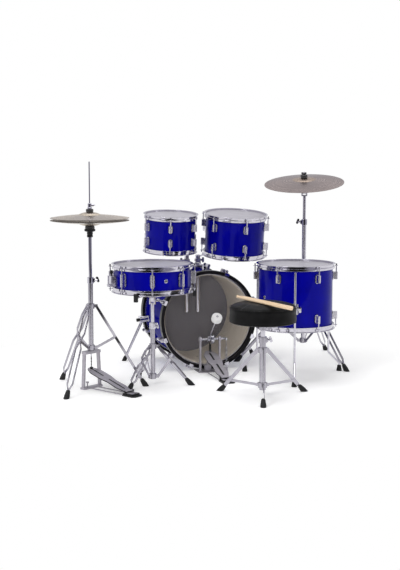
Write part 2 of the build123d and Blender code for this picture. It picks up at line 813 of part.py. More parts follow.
def tom_holder(x, side):
    """Make one tube of the holder with the fork of its tilter, the fork's pin and the pin's wing screw."""
    inner = tilter_head / 2 + seat_gap * 3
    with BuildPart() as tube:
        with BuildSketch(Plane.XY.offset(holder_tube_low)):
            with Locations((x, holder_y)):
                Circle(holder_tube_radius)
        extrude(amount=tilter_neck_z - holder_tube_low)
        with BuildSketch(Plane.XY.offset(holder_tube_low)):
            with Locations((x, holder_y)):
                Circle(holder_tube_radius - holder_tube_wall)
        extrude(amount=tilter_neck_z - holder_tube_low - 10, mode=Mode.SUBTRACT)
        cheek_z = (tilter_neck_z + tilter_pin_z) / 2 + 1
        for cheek in (-1, 1):
            with Locations((x + cheek * (inner + tilter_cheek / 2), holder_y, cheek_z)):
                Box(tilter_cheek, holder_tube_radius * 1.6, tilter_pin_z - tilter_neck_z + 14)
        with Locations((x, holder_y, tilter_neck_z - 3)):
            Box(2 * (inner + tilter_cheek), holder_tube_radius * 1.6, 6)
        with BuildSketch(Plane(origin=(x - 40, holder_y, tilter_pin_z), z_dir=(1, 0, 0))):
            Circle(tilter_pin_radius + pin_gap)
        extrude(amount=80, mode=Mode.SUBTRACT)
    reach = inner + tilter_cheek + 3
    pin = rod((x - reach, holder_y, tilter_pin_z), (x + reach, holder_y, tilter_pin_z), tilter_pin_radius)
    screw_at = (x + side * (reach + seat_gap), holder_y, tilter_pin_z)
    screw_seat = Plane(origin=screw_at, x_dir=(0, 0, 1), z_dir=(side, 0, 0))
    return tube.part, pin, *placed(screw_seat, wing_screw())


def tom_mount(x, frame, radius, turn):
    """Make a tom's bracket on its shell, the bent arm through it, and the tilter's head on the arm."""
    facing = Vector(1, 0, 0).rotate(Axis.Z, turn)
    line = radius + arm_stand
    up_end = Vector(frame.from_local_coords(facing * line + Vector(0, 0, mount_length / 2 + 14)))
    low_end = Vector(frame.from_local_coords(facing * line + Vector(0, 0, -mount_length)))
    slope = (up_end - low_end).normalized()
    elbow = low_end - slope * ((low_end.Z - tilter_arm_z) / slope.Z)
    head_at = Vector(x, holder_y, tilter_arm_z)
    inward = (head_at - elbow).normalized()
    tail = head_at + inward * (tilter_depth / 2 + 6)
    arm = bent_rod([up_end, elbow, tail], arm_bend, arm_radius)
    with BuildPart() as bracket:
        with BuildSketch(outward(turn, radius - 6)):
            RectangleRounded(mount_width + 12, mount_length, 6)
        extrude(amount=10)
        with BuildSketch(Plane.XY.offset(-mount_length * 0.4)):
            with Locations(facing * (line + radius) * 0.5):
                Rectangle(arm_stand, 16, rotation=turn)
            with Locations(facing * line):
                Circle(arm_radius + mount_wall)
        extrude(amount=mount_length * 0.8)
        with BuildSketch(Plane.XY.offset(-mount_length)):
            Circle(radius + seat_gap)
            with Locations(facing * line):
                Circle(arm_radius + slide_gap)
        extrude(amount=mount_length * 2, mode=Mode.SUBTRACT)
    screw_seat = outward(turn, line + arm_radius + mount_wall)
    screw = Plane(screw_seat.origin, x_dir=screw_seat.y_dir, z_dir=screw_seat.z_dir)
    with BuildPart() as head:
        with Locations((x, holder_y, (tilter_pin_z + tilter_arm_z) / 2)):
            Box(tilter_head, tilter_depth, tilter_arm_z - tilter_pin_z + 24)
        fillet(head.edges().filter_by(Axis.X), 8)
        with BuildSketch(Plane(origin=(x - 30, holder_y, tilter_pin_z), z_dir=(1, 0, 0))):
            Circle(tilter_pin_radius + pin_gap)
        extrude(amount=60, mode=Mode.SUBTRACT)
        with BuildSketch(Plane(origin=head_at - inward * 40, z_dir=inward)):
            Circle(arm_radius + slide_gap)
        extrude(amount=80, mode=Mode.SUBTRACT)
    return [arm, head.part, *placed(frame, bracket.part), *placed(frame, *placed(screw, wing_screw()))]


tom_left_frame = leaning(tom_left_x, tom_left_y, tom_left_z, tom_left_lean, tom_left_roll)
tom_right_frame = leaning(tom_right_x, tom_right_y, tom_right_z, tom_right_lean, tom_right_roll)
save("tom_left_holder", *tom_holder(holder_spots[0], -1))
save("tom_right_holder", *tom_holder(holder_spots[1], 1))
save("tom_left_mount", *tom_mount(holder_spots[0], tom_left_frame, tom_left_radius, tom_left_mount_turn))
save("tom_right_mount", *tom_mount(holder_spots[1], tom_right_frame, tom_right_radius, tom_right_mount_turn))
drum(
    "tom_left",
    tom_left_frame,
    tom_left_radius,
    tom_left_depth,
    tom_lugs,
    tom_left_lug_turn,
    False,
    tom_left_vent_turn,
)
drum(
    "tom_right",
    tom_right_frame,
    tom_right_radius,
    tom_right_depth,
    tom_lugs,
    tom_right_lug_turn,
    False,
    tom_right_vent_turn,
)

# Floor tom: three rods stand on the floor and pass through brackets on the shell
floor_leg_turns = (-112.0, 12.0, 138.0)
floor_leg_radius = 5.0
floor_leg_stand = 20.0
floor_leg_top = floor_tom_z + floor_tom_depth / 2 - hoop_skirt - 8.0
floor_leg_bend_z = 100.0
floor_leg_low_z = 40.0
floor_leg_reach = 264.0
floor_leg_bend = 22.0
floor_bracket_z = 352.0
floor_bracket_length = 52.0
floor_bracket_width = 30.0
floor_bracket_wall = 7.0
floor_foot_radius = 13.0
floor_foot_height = 30.0
floor_foot_socket = 20.0

floor_tom_frame = upright(floor_tom_x, floor_tom_y, floor_tom_z)
floor_leg_line = floor_tom_radius + floor_leg_stand
floor_leg = bent_rod(
    [
        (floor_leg_line, 0, floor_leg_top),
        (floor_leg_line, 0, floor_leg_bend_z),
        (floor_leg_reach, 0, floor_leg_low_z),
        (floor_leg_reach, 0, floor_foot_height - floor_foot_socket + seat_gap),
    ],
    floor_leg_bend * 0.5,
    floor_leg_radius,
)
floor_foot = Pos(floor_leg_reach, 0, 0) * turned(
    (0, 0),
    (floor_foot_radius, 0),
    (floor_foot_radius, 6),
    (floor_leg_radius + 4, floor_foot_height),
    (floor_leg_radius + seat_gap, floor_foot_height),
    (floor_leg_radius + seat_gap, floor_foot_height - floor_foot_socket),
    (0, floor_foot_height - floor_foot_socket),
)
with BuildPart() as floor_bracket:
    with BuildSketch(outward(0, floor_tom_radius - 6)):
        RectangleRounded(floor_bracket_width, floor_bracket_length, 6)
    extrude(amount=10)
    with BuildSketch(Plane.XY.offset(-floor_bracket_length * 0.38)):
        with Locations(((floor_tom_radius + floor_leg_line) / 2, 0)):
            Rectangle(floor_leg_stand, 18)
        with Locations((floor_leg_line, 0)):
            Circle(floor_leg_radius + floor_bracket_wall)
    extrude(amount=floor_bracket_length * 0.76)
    with BuildSketch(Plane.XY.offset(-floor_bracket_length)):
        Circle(floor_tom_radius + seat_gap)
        with Locations((floor_leg_line, 0)):
            Circle(floor_leg_radius + slide_gap)
    extrude(amount=2 * floor_bracket_length, mode=Mode.SUBTRACT)
floor_screw_seat = Plane(
    origin=(floor_leg_line, floor_leg_radius + floor_bracket_wall, 0),
    x_dir=(0, 0, 1),
    z_dir=(0, 1, 0),
)
floor_bracket_set = [floor_bracket.part, *placed(floor_screw_seat, wing_screw())]
floor_brackets = [Rot(0, 0, turn) * piece for turn in floor_leg_turns for piece in floor_bracket_set]
floor_bracket_frame = upright(floor_tom_x, floor_tom_y, floor_bracket_z)
floor_ground = upright(floor_tom_x, floor_tom_y)
drum(
    "floor_tom",
    floor_tom_frame,
    floor_tom_radius,
    floor_tom_depth,
    tom_lugs,
    floor_tom_lug_turn,
    False,
    -167.5,
    placed(floor_bracket_frame, *floor_brackets),
)
save("floor_tom_legs", *placed(floor_ground, *[Rot(0, 0, turn) * floor_leg for turn in floor_leg_turns]))
feet = placed(floor_ground, *[Rot(0, 0, turn) * floor_foot for turn in floor_leg_turns])

# Snare drum with its strainer, butt plate and wires
strainer_turn = 187.8
butt_turn = strainer_turn - 180.0
strainer_width = 24.0
strainer_height = 52.0
strainer_depth = 32.0
strainer_drop = 10.0
strainer_knob_stand = 25.0
strainer_knob_radius = 7.0
strainer_lever_length = 46.0
strainer_lever_sheet = 4.0
strainer_pin_radius = 2.5
wire_count = 16
wire_spacing = 2.9
wire_radius = 0.7
wire_half_length = snare_radius - 25.8
wire_clear = 0.6

snare_frame = upright(snare_x, snare_y, snare_z)
drum(
    "snare", snare_frame, snare_radius, snare_depth, snare_lugs, snare_lug_turn, True, stool_view + 22.5
)
strainer_face = snare_radius + strainer_depth
pivot_x = strainer_face + 6.5
pivot_z = -strainer_height / 2 + 8.0
fork_half = 6.0
with BuildPart() as strainer_body:
    with BuildSketch(outward(0, snare_radius - 4)):
        RectangleRounded(strainer_width, strainer_height, 4)
    extrude(amount=strainer_depth + 4)
    with Locations((strainer_face, fork_half + 2.5, pivot_z), (strainer_face, -fork_half - 2.5, pivot_z)):
        Box(2 * (pivot_x - strainer_face) + 10, 5, 12)
    with BuildSketch(Plane(origin=(pivot_x, -20, pivot_z), z_dir=(0, 1, 0))):
        Circle(strainer_pin_radius + pin_gap)
    extrude(amount=40, mode=Mode.SUBTRACT)
    with BuildSketch(Plane.XY.offset(-strainer_height)):
        Circle(snare_radius + seat_gap)
    extrude(amount=2 * strainer_height, mode=Mode.SUBTRACT)
strainer_pin = rod((pivot_x, -fork_half - 6, pivot_z), (pivot_x, fork_half + 6, pivot_z), strainer_pin_radius)
knob_x = snare_radius + strainer_knob_stand
strainer_knob = Pos(knob_x, 0, strainer_height / 2) * turned(
    (0, 0),
    (3, 0),
    (3, 10),
    (strainer_knob_radius, 10),
    (strainer_knob_radius, 24),
    (strainer_knob_radius - 2, 26),
    (0, 26),
)
with BuildPart() as butt:
    with BuildSketch(outward(0, snare_radius - 4, -strainer_drop)):
        RectangleRounded(strainer_width + 4, strainer_height * 0.5, 4)
    extrude(amount=strainer_depth * 0.4 + 4)
    with BuildSketch(Plane.XY.offset(-strainer_height)):
        Circle(snare_radius + seat_gap)
    extrude(amount=2 * strainer_height, mode=Mode.SUBTRACT)
lever_inside = fork_half - seat_gap * 4
with BuildPart() as strainer_lever:
    with BuildSketch(Plane(origin=(pivot_x, -lever_inside, pivot_z), z_dir=(0, 1, 0))):
        Circle(strainer_pin_radius + 3)
    extrude(amount=2 * lever_inside)
    with Locations((pivot_x + strainer_pin_radius, 0, pivot_z + strainer_lever_length / 2)):
        Box(strainer_lever_sheet, 2 * lever_inside, strainer_lever_length)
    with BuildSketch(Plane(origin=(pivot_x, -20, pivot_z), z_dir=(0, 1, 0))):
        Circle(strainer_pin_radius + pin_gap)
    extrude(amount=40, mode=Mode.SUBTRACT)
strainer_frame = upright(snare_x, snare_y, snare_z - strainer_drop, strainer_turn)
wire_frame = upright(snare_x, snare_y, snare_z, strainer_turn)
butt_frame = upright(snare_x, snare_y, snare_z, butt_turn)
save(
    "snare_strainer",
    *placed(strainer_frame, strainer_body.part, strainer_pin, strainer_knob),
    *placed(butt_frame, butt.part),
)
save("snare_strainer_lever", *placed(strainer_frame, strainer_lever.part))

wire_z = -snare_depth / 2 - seat_gap - film - wire_clear - wire_radius
wire_rows = [(index - (wire_count - 1) / 2) * wire_spacing for index in range(wire_count)]
wires = [rod((-wire_half_length, y, wire_z), (wire_half_length, y, wire_z), wire_radius) for y in wire_rows]
wire_plate_half = wire_count * wire_spacing / 2
wire_plate_length = 12.0
wire_plate = plate(
    (wire_half_length, -wire_plate_half, wire_z - wire_radius),
    (wire_half_length + wire_plate_length, wire_plate_half, wire_z + wire_radius),
)
wire_plates = around([wire_plate], 2, 0)
save("snare_wires", *placed(wire_frame, *wires, *wire_plates))

# Snare stand: a tripod, a sliding tube and a tilting basket whose arms hold the lower hoop
basket_turn = -127.1
basket_pin_z = 398.0
basket_plate_z = 412.0
basket_arm_width = 12.0
basket_arm_sheet = 5.0
basket_hub_radius = 20.0
basket_arm_knee = 120.0
basket_arm_rise = 18.0
grip_length = 18.0
grip_lip = 12.0
grip_hang = 16.0
basket_fork = 9.0
basket_pin_radius = 3.0
basket_pin_half = 16.0

snare_ground = upright(snare_x, snare_y)
snare_metal, snare_feet = tripod(
    snare_pivot_z, snare_brace_z, snare_reach, snare_turn, base_tube_radius, post_radius,
    snare_brace_z - tube_tail, snare_clamp_z, snare_clamp_turn, True,
)
save("snare_stand_tripod", *placed(snare_ground, *snare_metal))
feet += placed(snare_ground, *snare_feet)

snare_hoop_low = snare_z - snare_depth / 2 - hoop_rise
grip_seat = snare_hoop_low - seat_gap * 3
grip_out = snare_radius + hoop_flange + seat_gap * 5
basket_frame = upright(snare_x, snare_y, 0, basket_turn)
snare_tube_low = snare_clamp_z - 150.0
with BuildPart() as snare_tube:
    with BuildSketch(Plane.XY.offset(snare_tube_low)):
        Circle(post_radius)
    extrude(amount=basket_pin_z - 12 - snare_tube_low)
    for side in (-1, 1):
        with Locations((0, side * (basket_fork + 2.5), basket_pin_z - 4)):
            Box(14, 5, 28)
    with Locations((0, 0, basket_pin_z - 15)):
        Box(14, 2 * basket_fork + 10, 6)
    with BuildSketch(Plane(origin=(0, -30, basket_pin_z), z_dir=(0, 1, 0))):
        Circle(basket_pin_radius + pin_gap)
    extrude(amount=60, mode=Mode.SUBTRACT)
basket_pin = rod((0, -basket_pin_half, basket_pin_z), (0, basket_pin_half, basket_pin_z), basket_pin_radius)
tilt_screw_seat = Plane(origin=(0, basket_pin_half, basket_pin_z), x_dir=(1, 0, 0), z_dir=(0, 1, 0))
tilt_screw = placed(tilt_screw_seat, wing_screw())
save("snare_stand_upper_tube", *placed(basket_frame, snare_tube.part, basket_pin, *tilt_screw))

knuckle_half = basket_fork - seat_gap * 3
arm_end = grip_out - 2
arm_low = basket_plate_z + basket_arm_rise
with BuildPart() as basket_arm:
    with BuildSketch(Plane.XZ):
        with BuildLine():
            Polyline(
                (0, basket_plate_z),
                (basket_hub_radius * 0.8, basket_plate_z),
                (basket_arm_knee, arm_low),
                (arm_end, arm_low),
                (arm_end, arm_low + basket_arm_sheet),
                (basket_arm_knee, arm_low + basket_arm_sheet),
                (basket_hub_radius * 0.8, basket_plate_z + basket_arm_sheet),
                (0, basket_plate_z + basket_arm_sheet),
                close=True,
            )
        make_face()
    extrude(amount=basket_arm_width / 2, both=True)
with BuildPart() as basket:
    with BuildSketch(Plane.XY.offset(basket_plate_z)):
        Circle(basket_hub_radius)
    extrude(amount=basket_arm_sheet)
    add(around([basket_arm.part], 3, 0))
    with Locations((0, 0, (basket_pin_z + basket_plate_z) / 2)):
        Box(14, 2 * knuckle_half, basket_plate_z - basket_pin_z + 12)
    with BuildSketch(Plane(origin=(0, -30, basket_pin_z), z_dir=(0, 1, 0))):
        Circle(basket_pin_radius + pin_gap)
    extrude(amount=60, mode=Mode.SUBTRACT)
grip_low = arm_low + basket_arm_sheet
with BuildPart() as grip:
    with BuildSketch(Plane.XZ):
        with BuildLine():
            Polyline(
                (grip_out - grip_length, grip_low),
                (arm_end, grip_low),
                (arm_end, arm_low - grip_hang),
                (grip_out + grip_lip, arm_low - grip_hang),
                (grip_out + grip_lip, grip_seat + 8),
                (grip_out + grip_lip - 4, grip_seat + 12),
                (grip_out, grip_seat + 8),
                (grip_out, grip_seat),
                (grip_out - grip_length, grip_seat),
                close=True,
            )
        make_face()
    extrude(amount=basket_arm_width * 0.7, both=True)
save("snare_basket", *placed(basket_frame, basket.part, *around([grip.part], 3, 0)))

# Footboards with their heel plates: shared by the bass pedal and the hi-hat pedal
board_sheet = 5.0
board_groove = 9.0
board_groove_depth = 1.5
board_slots = ((0.09, 0.50), (0.64, 0.93))
board_toe_round = 20.0
board_side_round = 60.0
board_pin_z = 17.0
board_pin_radius = 3.0
board_barrel = 6.5
board_barrel_half = 23.0
heel_width = 64.0
heel_length = 64.0
heel_sheet = 6.0
heel_ear = 6.0
wire_rod_radius = 2.6
wire_rod_half = 22.0
hook_size = 11.0


def footboard(hinge_x, toe_x, toe_z, hook_x, hook_y, hook_top):
    """Make a footboard from its heel hinge up to its toe, with grooves in its tread and a hook at its toe."""
    run = Vector(toe_x - hinge_x, 0, toe_z - board_pin_z)
    length = run.length
    tread = Plane(origin=(hinge_x, 0, board_pin_z), x_dir=run, z_dir=Vector(0, 1, 0).cross(run))
    half_outline = [
        (0, board_barrel_half - 2),
        (2 * board_barrel, board_barrel_half - 2),
        (length * 0.18, board_barrel_half + 9),
        (length * 0.42, board_barrel_half + 4),
        (length * 0.58, board_barrel_half + 14),
        (length * 0.84, board_barrel_half + 14),
        (length, board_barrel_half * 0.7),
    ]
    outline = half_outline + [(reach, -half) for reach, half in reversed(half_outline)]
    with BuildPart() as piece:
        with BuildSketch(tread.offset(-board_sheet / 2)):
            with BuildLine():
                Polyline(*outline, close=True)
            make_face()
        extrude(amount=board_sheet)
        corners = piece.edges().filter_by(Axis(tread.origin, tread.z_dir))
        corners = corners.sort_by(Axis(tread.origin, tread.x_dir))
        fillet(corners[-2:], board_toe_round)
        fillet(corners[4:-2], board_side_round)
        with BuildSketch(tread.offset(board_sheet / 2 - board_groove_depth)):
            for low, high in board_slots:
                with Locations((length * (low + high) / 2, 0)):
                    SlotOverall(length * (high - low), board_groove)
        extrude(amount=board_sheet, mode=Mode.SUBTRACT)
        with BuildSketch(Plane(origin=(hinge_x, -board_barrel_half, board_pin_z), z_dir=(0, 1, 0))):
            Circle(board_barrel)
        extrude(amount=2 * board_barrel_half)
        hook_low = board_pin_z + (toe_z - board_pin_z) * (hinge_x - hook_x) / (hinge_x - toe_x)
        with Locations((hook_x, hook_y, (hook_low + hook_top) / 2)):
            Box(hook_size, hook_size, hook_top - hook_low)
        with BuildSketch(Plane(origin=(hinge_x, -board_barrel_half - 5, board_pin_z), z_dir=(0, 1, 0))):
            Circle(board_pin_radius + pin_gap)
        extrude(amount=2 * board_barrel_half + 10, mode=Mode.SUBTRACT)
    return piece.part


def heel_plate(hinge_x):
    """Make a heel plate on the floor with two ears, and the hinge pin through them."""
    ear_in = board_barrel_half + seat_gap * 5
    ear_mid = ear_in + heel_ear / 2
    clear = board_barrel + loose_gap * 2
    with BuildPart() as piece:
        with Locations((hinge_x + heel_length / 2 - 4, 0, heel_sheet / 2)):
            Box(heel_length + 8, heel_width, heel_sheet)
        fillet(piece.edges().filter_by(Axis.Z).sort_by(Axis.X)[-2:], 18)
        for side in (-1, 1):
            with Locations((hinge_x, side * ear_mid, (heel_sheet + board_pin_z) / 2 + 3)):
                Box(2 * board_barrel, heel_ear, board_pin_z - heel_sheet + 8)
        with Locations((hinge_x + clear + (heel_length - clear) / 2 - 8, 0, heel_sheet + 4)):
            Box(heel_length - clear - 16, heel_width - 16, 8)
        with BuildSketch(Plane.XY.offset(heel_sheet + 8 - board_groove_depth)):
            with Locations((hinge_x + heel_length / 2, 0)):
                Rectangle(heel_length, board_groove)
        extrude(amount=board_groove_depth, mode=Mode.SUBTRACT)
        with BuildSketch(Plane(origin=(hinge_x, -60, board_pin_z), z_dir=(0, 1, 0))):
            Circle(board_pin_radius + pin_gap)
        extrude(amount=120, mode=Mode.SUBTRACT)
    reach = ear_in + heel_ear + 2
    pin = rod((hinge_x, -reach, board_pin_z), (hinge_x, reach, board_pin_z), board_pin_radius)
    return [piece.part, pin]


# Hi-hat stand: tripod, pedal frame, sliding tube, pull rod with its clutch, and two cymbals
hihat_pedal_turn = -58.4
hihat_cross_z = 164.0
hihat_cross_sheet = 12.0
hihat_post_top = 44.0
hihat_post_low = 52.0
hihat_post_width = 18.0
hihat_post_sheet = 7.0
hihat_base_sheet = 9.0
hihat_hinge_x = 240.0
hihat_toe_x = -12.0
hihat_toe_z = 92.0
hihat_seat_z = 742.0
hihat_low_rim_z = 776.0
hihat_gap = 11.0
hihat_radius = 180.5
hihat_bell_radius = 52.0
hihat_bell_rise = 12.0
hihat_bow_rise = 14.0
hihat_sheet = 1.4
hihat_hole = 6.5
pull_rod_radius = 3.0
pull_rod_top = 1043.0
pull_rod_low = 148.0
chain_width = 9.0
chain_sheet = 4.0
clutch_radius = 8.5
clutch_sleeve = 5.5
felt_radius = 17.0
seat_cup_radius = 25.0
seat_sleeve_radius = 13.5
seat_sleeve_height = 24.0
seat_cup_height = 37.0
seat_felt_radius = 22.0
spur_screw_radius = 3.0

hihat_ground = upright(hihat_x, hihat_y)
hihat_pedal_frame = upright(hihat_x, hihat_y, 0, hihat_pedal_turn)
hihat_metal, hihat_feet = tripod(
    hihat_pivot_z, hihat_brace_z, hihat_reach, hihat_turn, base_tube_radius, post_radius,
    hihat_cross_z + hihat_cross_sheet, hihat_clamp_z, hihat_clamp_turn, True,
)
save("hihat_tripod", *placed(hihat_ground, *hihat_metal))
feet += placed(hihat_ground, *hihat_feet)

with BuildPart() as cross_bar:
    with BuildSketch(Plane.XY.offset(hihat_cross_z)):
        RectangleRounded(34, 2 * hihat_post_top + hihat_post_sheet, 6)
        Circle(post_radius, mode=Mode.SUBTRACT)
    extrude(amount=hihat_cross_sheet)


def frame_post(side):
    """Make one upright of the hi-hat's pedal frame, splayed a little toward the floor."""
    half = hihat_post_sheet / 2
    with BuildPart() as piece:
        with BuildSketch(Plane.YZ):
            with BuildLine():
                Polyline(
                    (side * (hihat_post_top - half), hihat_cross_z),
                    (side * (hihat_post_top + half), hihat_cross_z),
                    (side * (hihat_post_low + half), hihat_base_sheet),
                    (side * (hihat_post_low - half), hihat_base_sheet),
                    close=True,
                )
            make_face()
        extrude(amount=hihat_post_width / 2, both=True)
    return piece.part


base_half = hihat_post_low + hihat_post_sheet
hihat_base = plate((-14, -base_half, 0), (14, base_half, hihat_base_sheet))
spur_screw = Pos(0, -hihat_post_low + 26, hihat_base_sheet) * turned(
    (0, 0), (spur_screw_radius, 0), (spur_screw_radius, 18), (7, 18), (7, 24), (0, 24)
)
hihat_wires = []
for side in (-1, 1):
    start = (14, side * wire_rod_half, hihat_base_sheet / 2)
    end = (hihat_hinge_x - 8, side * wire_rod_half, hihat_base_sheet / 2)
    hihat_wires.append(rod(start, end, wire_rod_radius))
hihat_frame_pieces = [cross_bar.part, frame_post(-1), frame_post(1), hihat_base, spur_screw]
hihat_frame_pieces += [*hihat_wires, *heel_plate(hihat_hinge_x)]
save("hihat_base_frame", *placed(hihat_pedal_frame, *hihat_frame_pieces))

hihat_tube_low = hihat_clamp_z - 200.0
seat_felt_low = hihat_seat_z - 5.0
seat_cup_low = seat_felt_low - seat_cup_height
hihat_tube = rod((0, 0, hihat_tube_low), (0, 0, seat_cup_low), post_radius, pull_rod_radius + 1.0)
seat_cup = Pos(0, 0, seat_cup_low) * turned(
    (pull_rod_radius + 1, 0),
    (seat_sleeve_radius, 0),
    (seat_sleeve_radius, seat_sleeve_height),
    (seat_cup_radius, seat_sleeve_height + 4),
    (seat_cup_radius, seat_cup_height),
    (pull_rod_radius + 1, seat_cup_height),
)
hihat_crown = hihat_bow_rise + hihat_bell_rise
seat_felt_top = hihat_low_rim_z - hihat_crown - seat_gap * 3
seat_felt = washer(seat_felt_radius, pull_rod_radius + 1, seat_felt_low, seat_felt_top, 1.5)
save("hihat_upper_tube", *placed(hihat_ground, hihat_tube, seat_cup, seat_felt))

hat = cymbal(hihat_radius, hihat_bell_radius, hihat_bell_rise, hihat_bow_rise, hihat_sheet, hihat_hole)
hihat_top_z = hihat_low_rim_z + hihat_gap + hihat_sheet
save("hihat_bottom_cymbal", *placed(hihat_ground, Pos(0, 0, hihat_low_rim_z) * Rot(180, 0, 0) * hat))
save("hihat_top_cymbal", *placed(hihat_ground, Pos(0, 0, hihat_top_z) * hat))

pull_rod = rod((0, 0, pull_rod_low), (0, 0, pull_rod_top), pull_rod_radius)
chain_low = hihat_toe_z - 1.0
link_count = 7
chain_pitch = (pull_rod_low - chain_low - 8) / link_count


def chain_link(index):
    """Make one link of the pedal chain, turned across the last one."""
    middle = pull_rod_low - (index + 0.5) * chain_pitch
    across = Plane(origin=(0, 0, middle), x_dir=(0, 0, 1), z_dir=(0, 1, 0) if index % 2 else (1, 0, 0))
    with BuildPart() as piece:
        with BuildSketch(across):
            SlotOverall(chain_pitch - seat_gap * 2, chain_width * 0.62)
        extrude(amount=chain_sheet / 2, both=True)
    return piece.part


chain = [chain_link(index) for index in range(link_count)]
chain_end = pull_rod_low - link_count * chain_pitch
hihat_board = footboard(hihat_hinge_x, hihat_toe_x, hihat_toe_z, 0.0, 0.0, chain_end)
save("hihat_footboard", *placed(hihat_pedal_frame, hihat_board))
save("hihat_pull_rod", *placed(hihat_ground, pull_rod, *chain))

bell_top = hihat_top_z + hihat_crown
bell_under = bell_top - hihat_sheet
clutch_bore = pull_rod_radius + slide_gap
top_felt_low = bell_top + seat_gap * 3
clutch_low = top_felt_low + 14.0
clutch = turned(
    (clutch_bore, bell_under - 16),
    (clutch_radius, bell_under - 16),
    (clutch_radius, bell_under - 8),
    (clutch_sleeve, bell_under - 8),
    (clutch_sleeve, clutch_low),
    (clutch_radius + 2, clutch_low),
    (clutch_radius + 2, clutch_low + 6),
    (clutch_radius, clutch_low + 6),
    (clutch_radius, clutch_low + 26),
    (clutch_bore, clutch_low + 26),
)
low_felt = washer(felt_radius - 3, clutch_sleeve + seat_gap, bell_under - 7.8, bell_under - 0.4, 1.0)
top_felt = washer(felt_radius, clutch_sleeve + seat_gap, top_felt_low, clutch_low - seat_gap, 2.0)
clutch_screw_seat = Plane(origin=(clutch_radius, 0, clutch_low + 17), x_dir=(0, 1, 0), z_dir=(1, 0, 0))
clutch_screw = placed(clutch_screw_seat, wing_screw())
clutch_frame = upright(hihat_x, hihat_y, 0, -17.0)
save("hihat_clutch", *placed(clutch_frame, clutch, low_felt, top_felt, *clutch_screw))

# Crash stand: tripod, sliding tube, tilter, felts and cymbal
crash_radius = 203.2
crash_bell_radius = 58.0
crash_bell_rise = 9.0
crash_bow_rise = 19.0
crash_sheet = 1.5
crash_hole = 6.5
crash_lean = 11.45
crash_lean_turn = -123.3
crash_pivot_axis_z = 874.0
crash_center_rise = 48.0
crash_stem_radius = 4.0
crash_felt_radius = 18.0
crash_felt_height = 16.0
crash_nut_radius = 8.0
crash_nut_height = 8.0
crash_fork = 9.0
crash_pin_radius = 3.5
crash_pin_half = 18.0
crash_tube_reach = 300.0

crash_ground = upright(crash_x, crash_y)
crash_metal, crash_feet = tripod(
    crash_pivot_z, crash_brace_z, crash_reach, crash_turn, base_tube_radius, post_radius,
    crash_brace_z - tube_tail, crash_clamp_z, crash_clamp_turn, True,
)
save("crash_tripod", *placed(crash_ground, *crash_metal))
feet += placed(crash_ground, *crash_feet)

crash_yaw = crash_lean_turn + 90
crash_turned = upright(crash_x, crash_y, 0, crash_yaw)
with BuildPart() as crash_tube:
    with BuildSketch(Plane.XY.offset(crash_clamp_z - crash_tube_reach)):
        Circle(post_radius)
    extrude(amount=crash_pivot_axis_z - 14 - crash_clamp_z + crash_tube_reach)
    for side in (-1, 1):
        with Locations((side * (crash_fork + 2.5), 0, crash_pivot_axis_z - 4)):
            Box(5, 18, 30)
    with Locations((0, 0, crash_pivot_axis_z - 16)):
        Box(2 * crash_fork + 10, 18, 6)
    with BuildSketch(Plane(origin=(-40, 0, crash_pivot_axis_z), z_dir=(1, 0, 0))):
        Circle(crash_pin_radius + pin_gap)
    extrude(amount=80, mode=Mode.SUBTRACT)
crash_pin = rod(
    (-crash_pin_half, 0, crash_pivot_axis_z), (crash_pin_half, 0, crash_pivot_axis_z), crash_pin_radius
)
crash_screw_seat = Plane(
    origin=(-crash_pin_half, 0, crash_pivot_axis_z), x_dir=(0, 1, 0), z_dir=(-1, 0, 0)
)
crash_screw = placed(crash_screw_seat, wing_screw())
save("crash_upper_tube", *placed(crash_turned, crash_tube.part, crash_pin, *crash_screw))

crash_toward = Vector(1, 0, 0).rotate(Axis.Z, crash_lean_turn)
crash_tilt_frame = Plane(
    origin=(crash_x, crash_y, crash_pivot_axis_z),
    x_dir=Vector(1, 0, 0).rotate(Axis.Z, crash_yaw),
    z_dir=Vector(0, 0, 1) + crash_toward * math.tan(math.radians(crash_lean)),
)
crash_seat = crash_center_rise + crash_bow_rise + crash_bell_rise - crash_sheet
crash_cup_z = crash_seat - 14.0
crash_top = crash_center_rise + crash_bow_rise + crash_bell_rise
nut_low = crash_top + crash_felt_height
stem_top = nut_low + crash_nut_height + 6.0
tilter_half = crash_fork - seat_gap * 3
with BuildPart() as crash_tilter:
    with Locations((0, 0, 5)):
        Box(2 * tilter_half, 18, 22)
    fillet(crash_tilter.edges().filter_by(Axis.X), 5)
    with BuildSketch(Plane.XY.offset(14)):
        Circle(crash_stem_radius)
    extrude(amount=stem_top - 14)
    with BuildSketch(Plane.XY.offset(crash_cup_z - 5)):
        Circle(crash_felt_radius)
    extrude(amount=5)
    with BuildSketch(Plane(origin=(-40, 0, 0), z_dir=(1, 0, 0))):
        Circle(crash_pin_radius + pin_gap)
    extrude(amount=80, mode=Mode.SUBTRACT)
with BuildPart() as wing_nut:
    with BuildSketch(Plane.XY.offset(nut_low)):
        Circle(crash_nut_radius)
    extrude(amount=crash_nut_height)
    with BuildSketch(Plane.XZ):
        with Locations((0, nut_low + crash_nut_height)):
            SlotOverall(wing_span, wing_height - 3)
    extrude(amount=wing_sheet / 2, both=True)
    with BuildSketch(Plane.XY.offset(nut_low - 2)):
        Circle(crash_stem_radius + slide_gap)
    extrude(amount=40, mode=Mode.SUBTRACT)
felt_bore = crash_stem_radius + slide_gap
crash_low_felt = washer(crash_felt_radius, felt_bore, crash_cup_z + seat_gap, crash_seat - 0.4, 2.0)
crash_top_felt = washer(crash_felt_radius, felt_bore, crash_top + 0.4, nut_low - seat_gap, 2.0)
save("crash_tilter", *placed(crash_tilt_frame, crash_tilter.part, wing_nut.part))
save("crash_felts", *placed(crash_tilt_frame, crash_low_felt, crash_top_felt))
crash = cymbal(crash_radius, crash_bell_radius, crash_bell_rise, crash_bow_rise, crash_sheet, crash_hole)
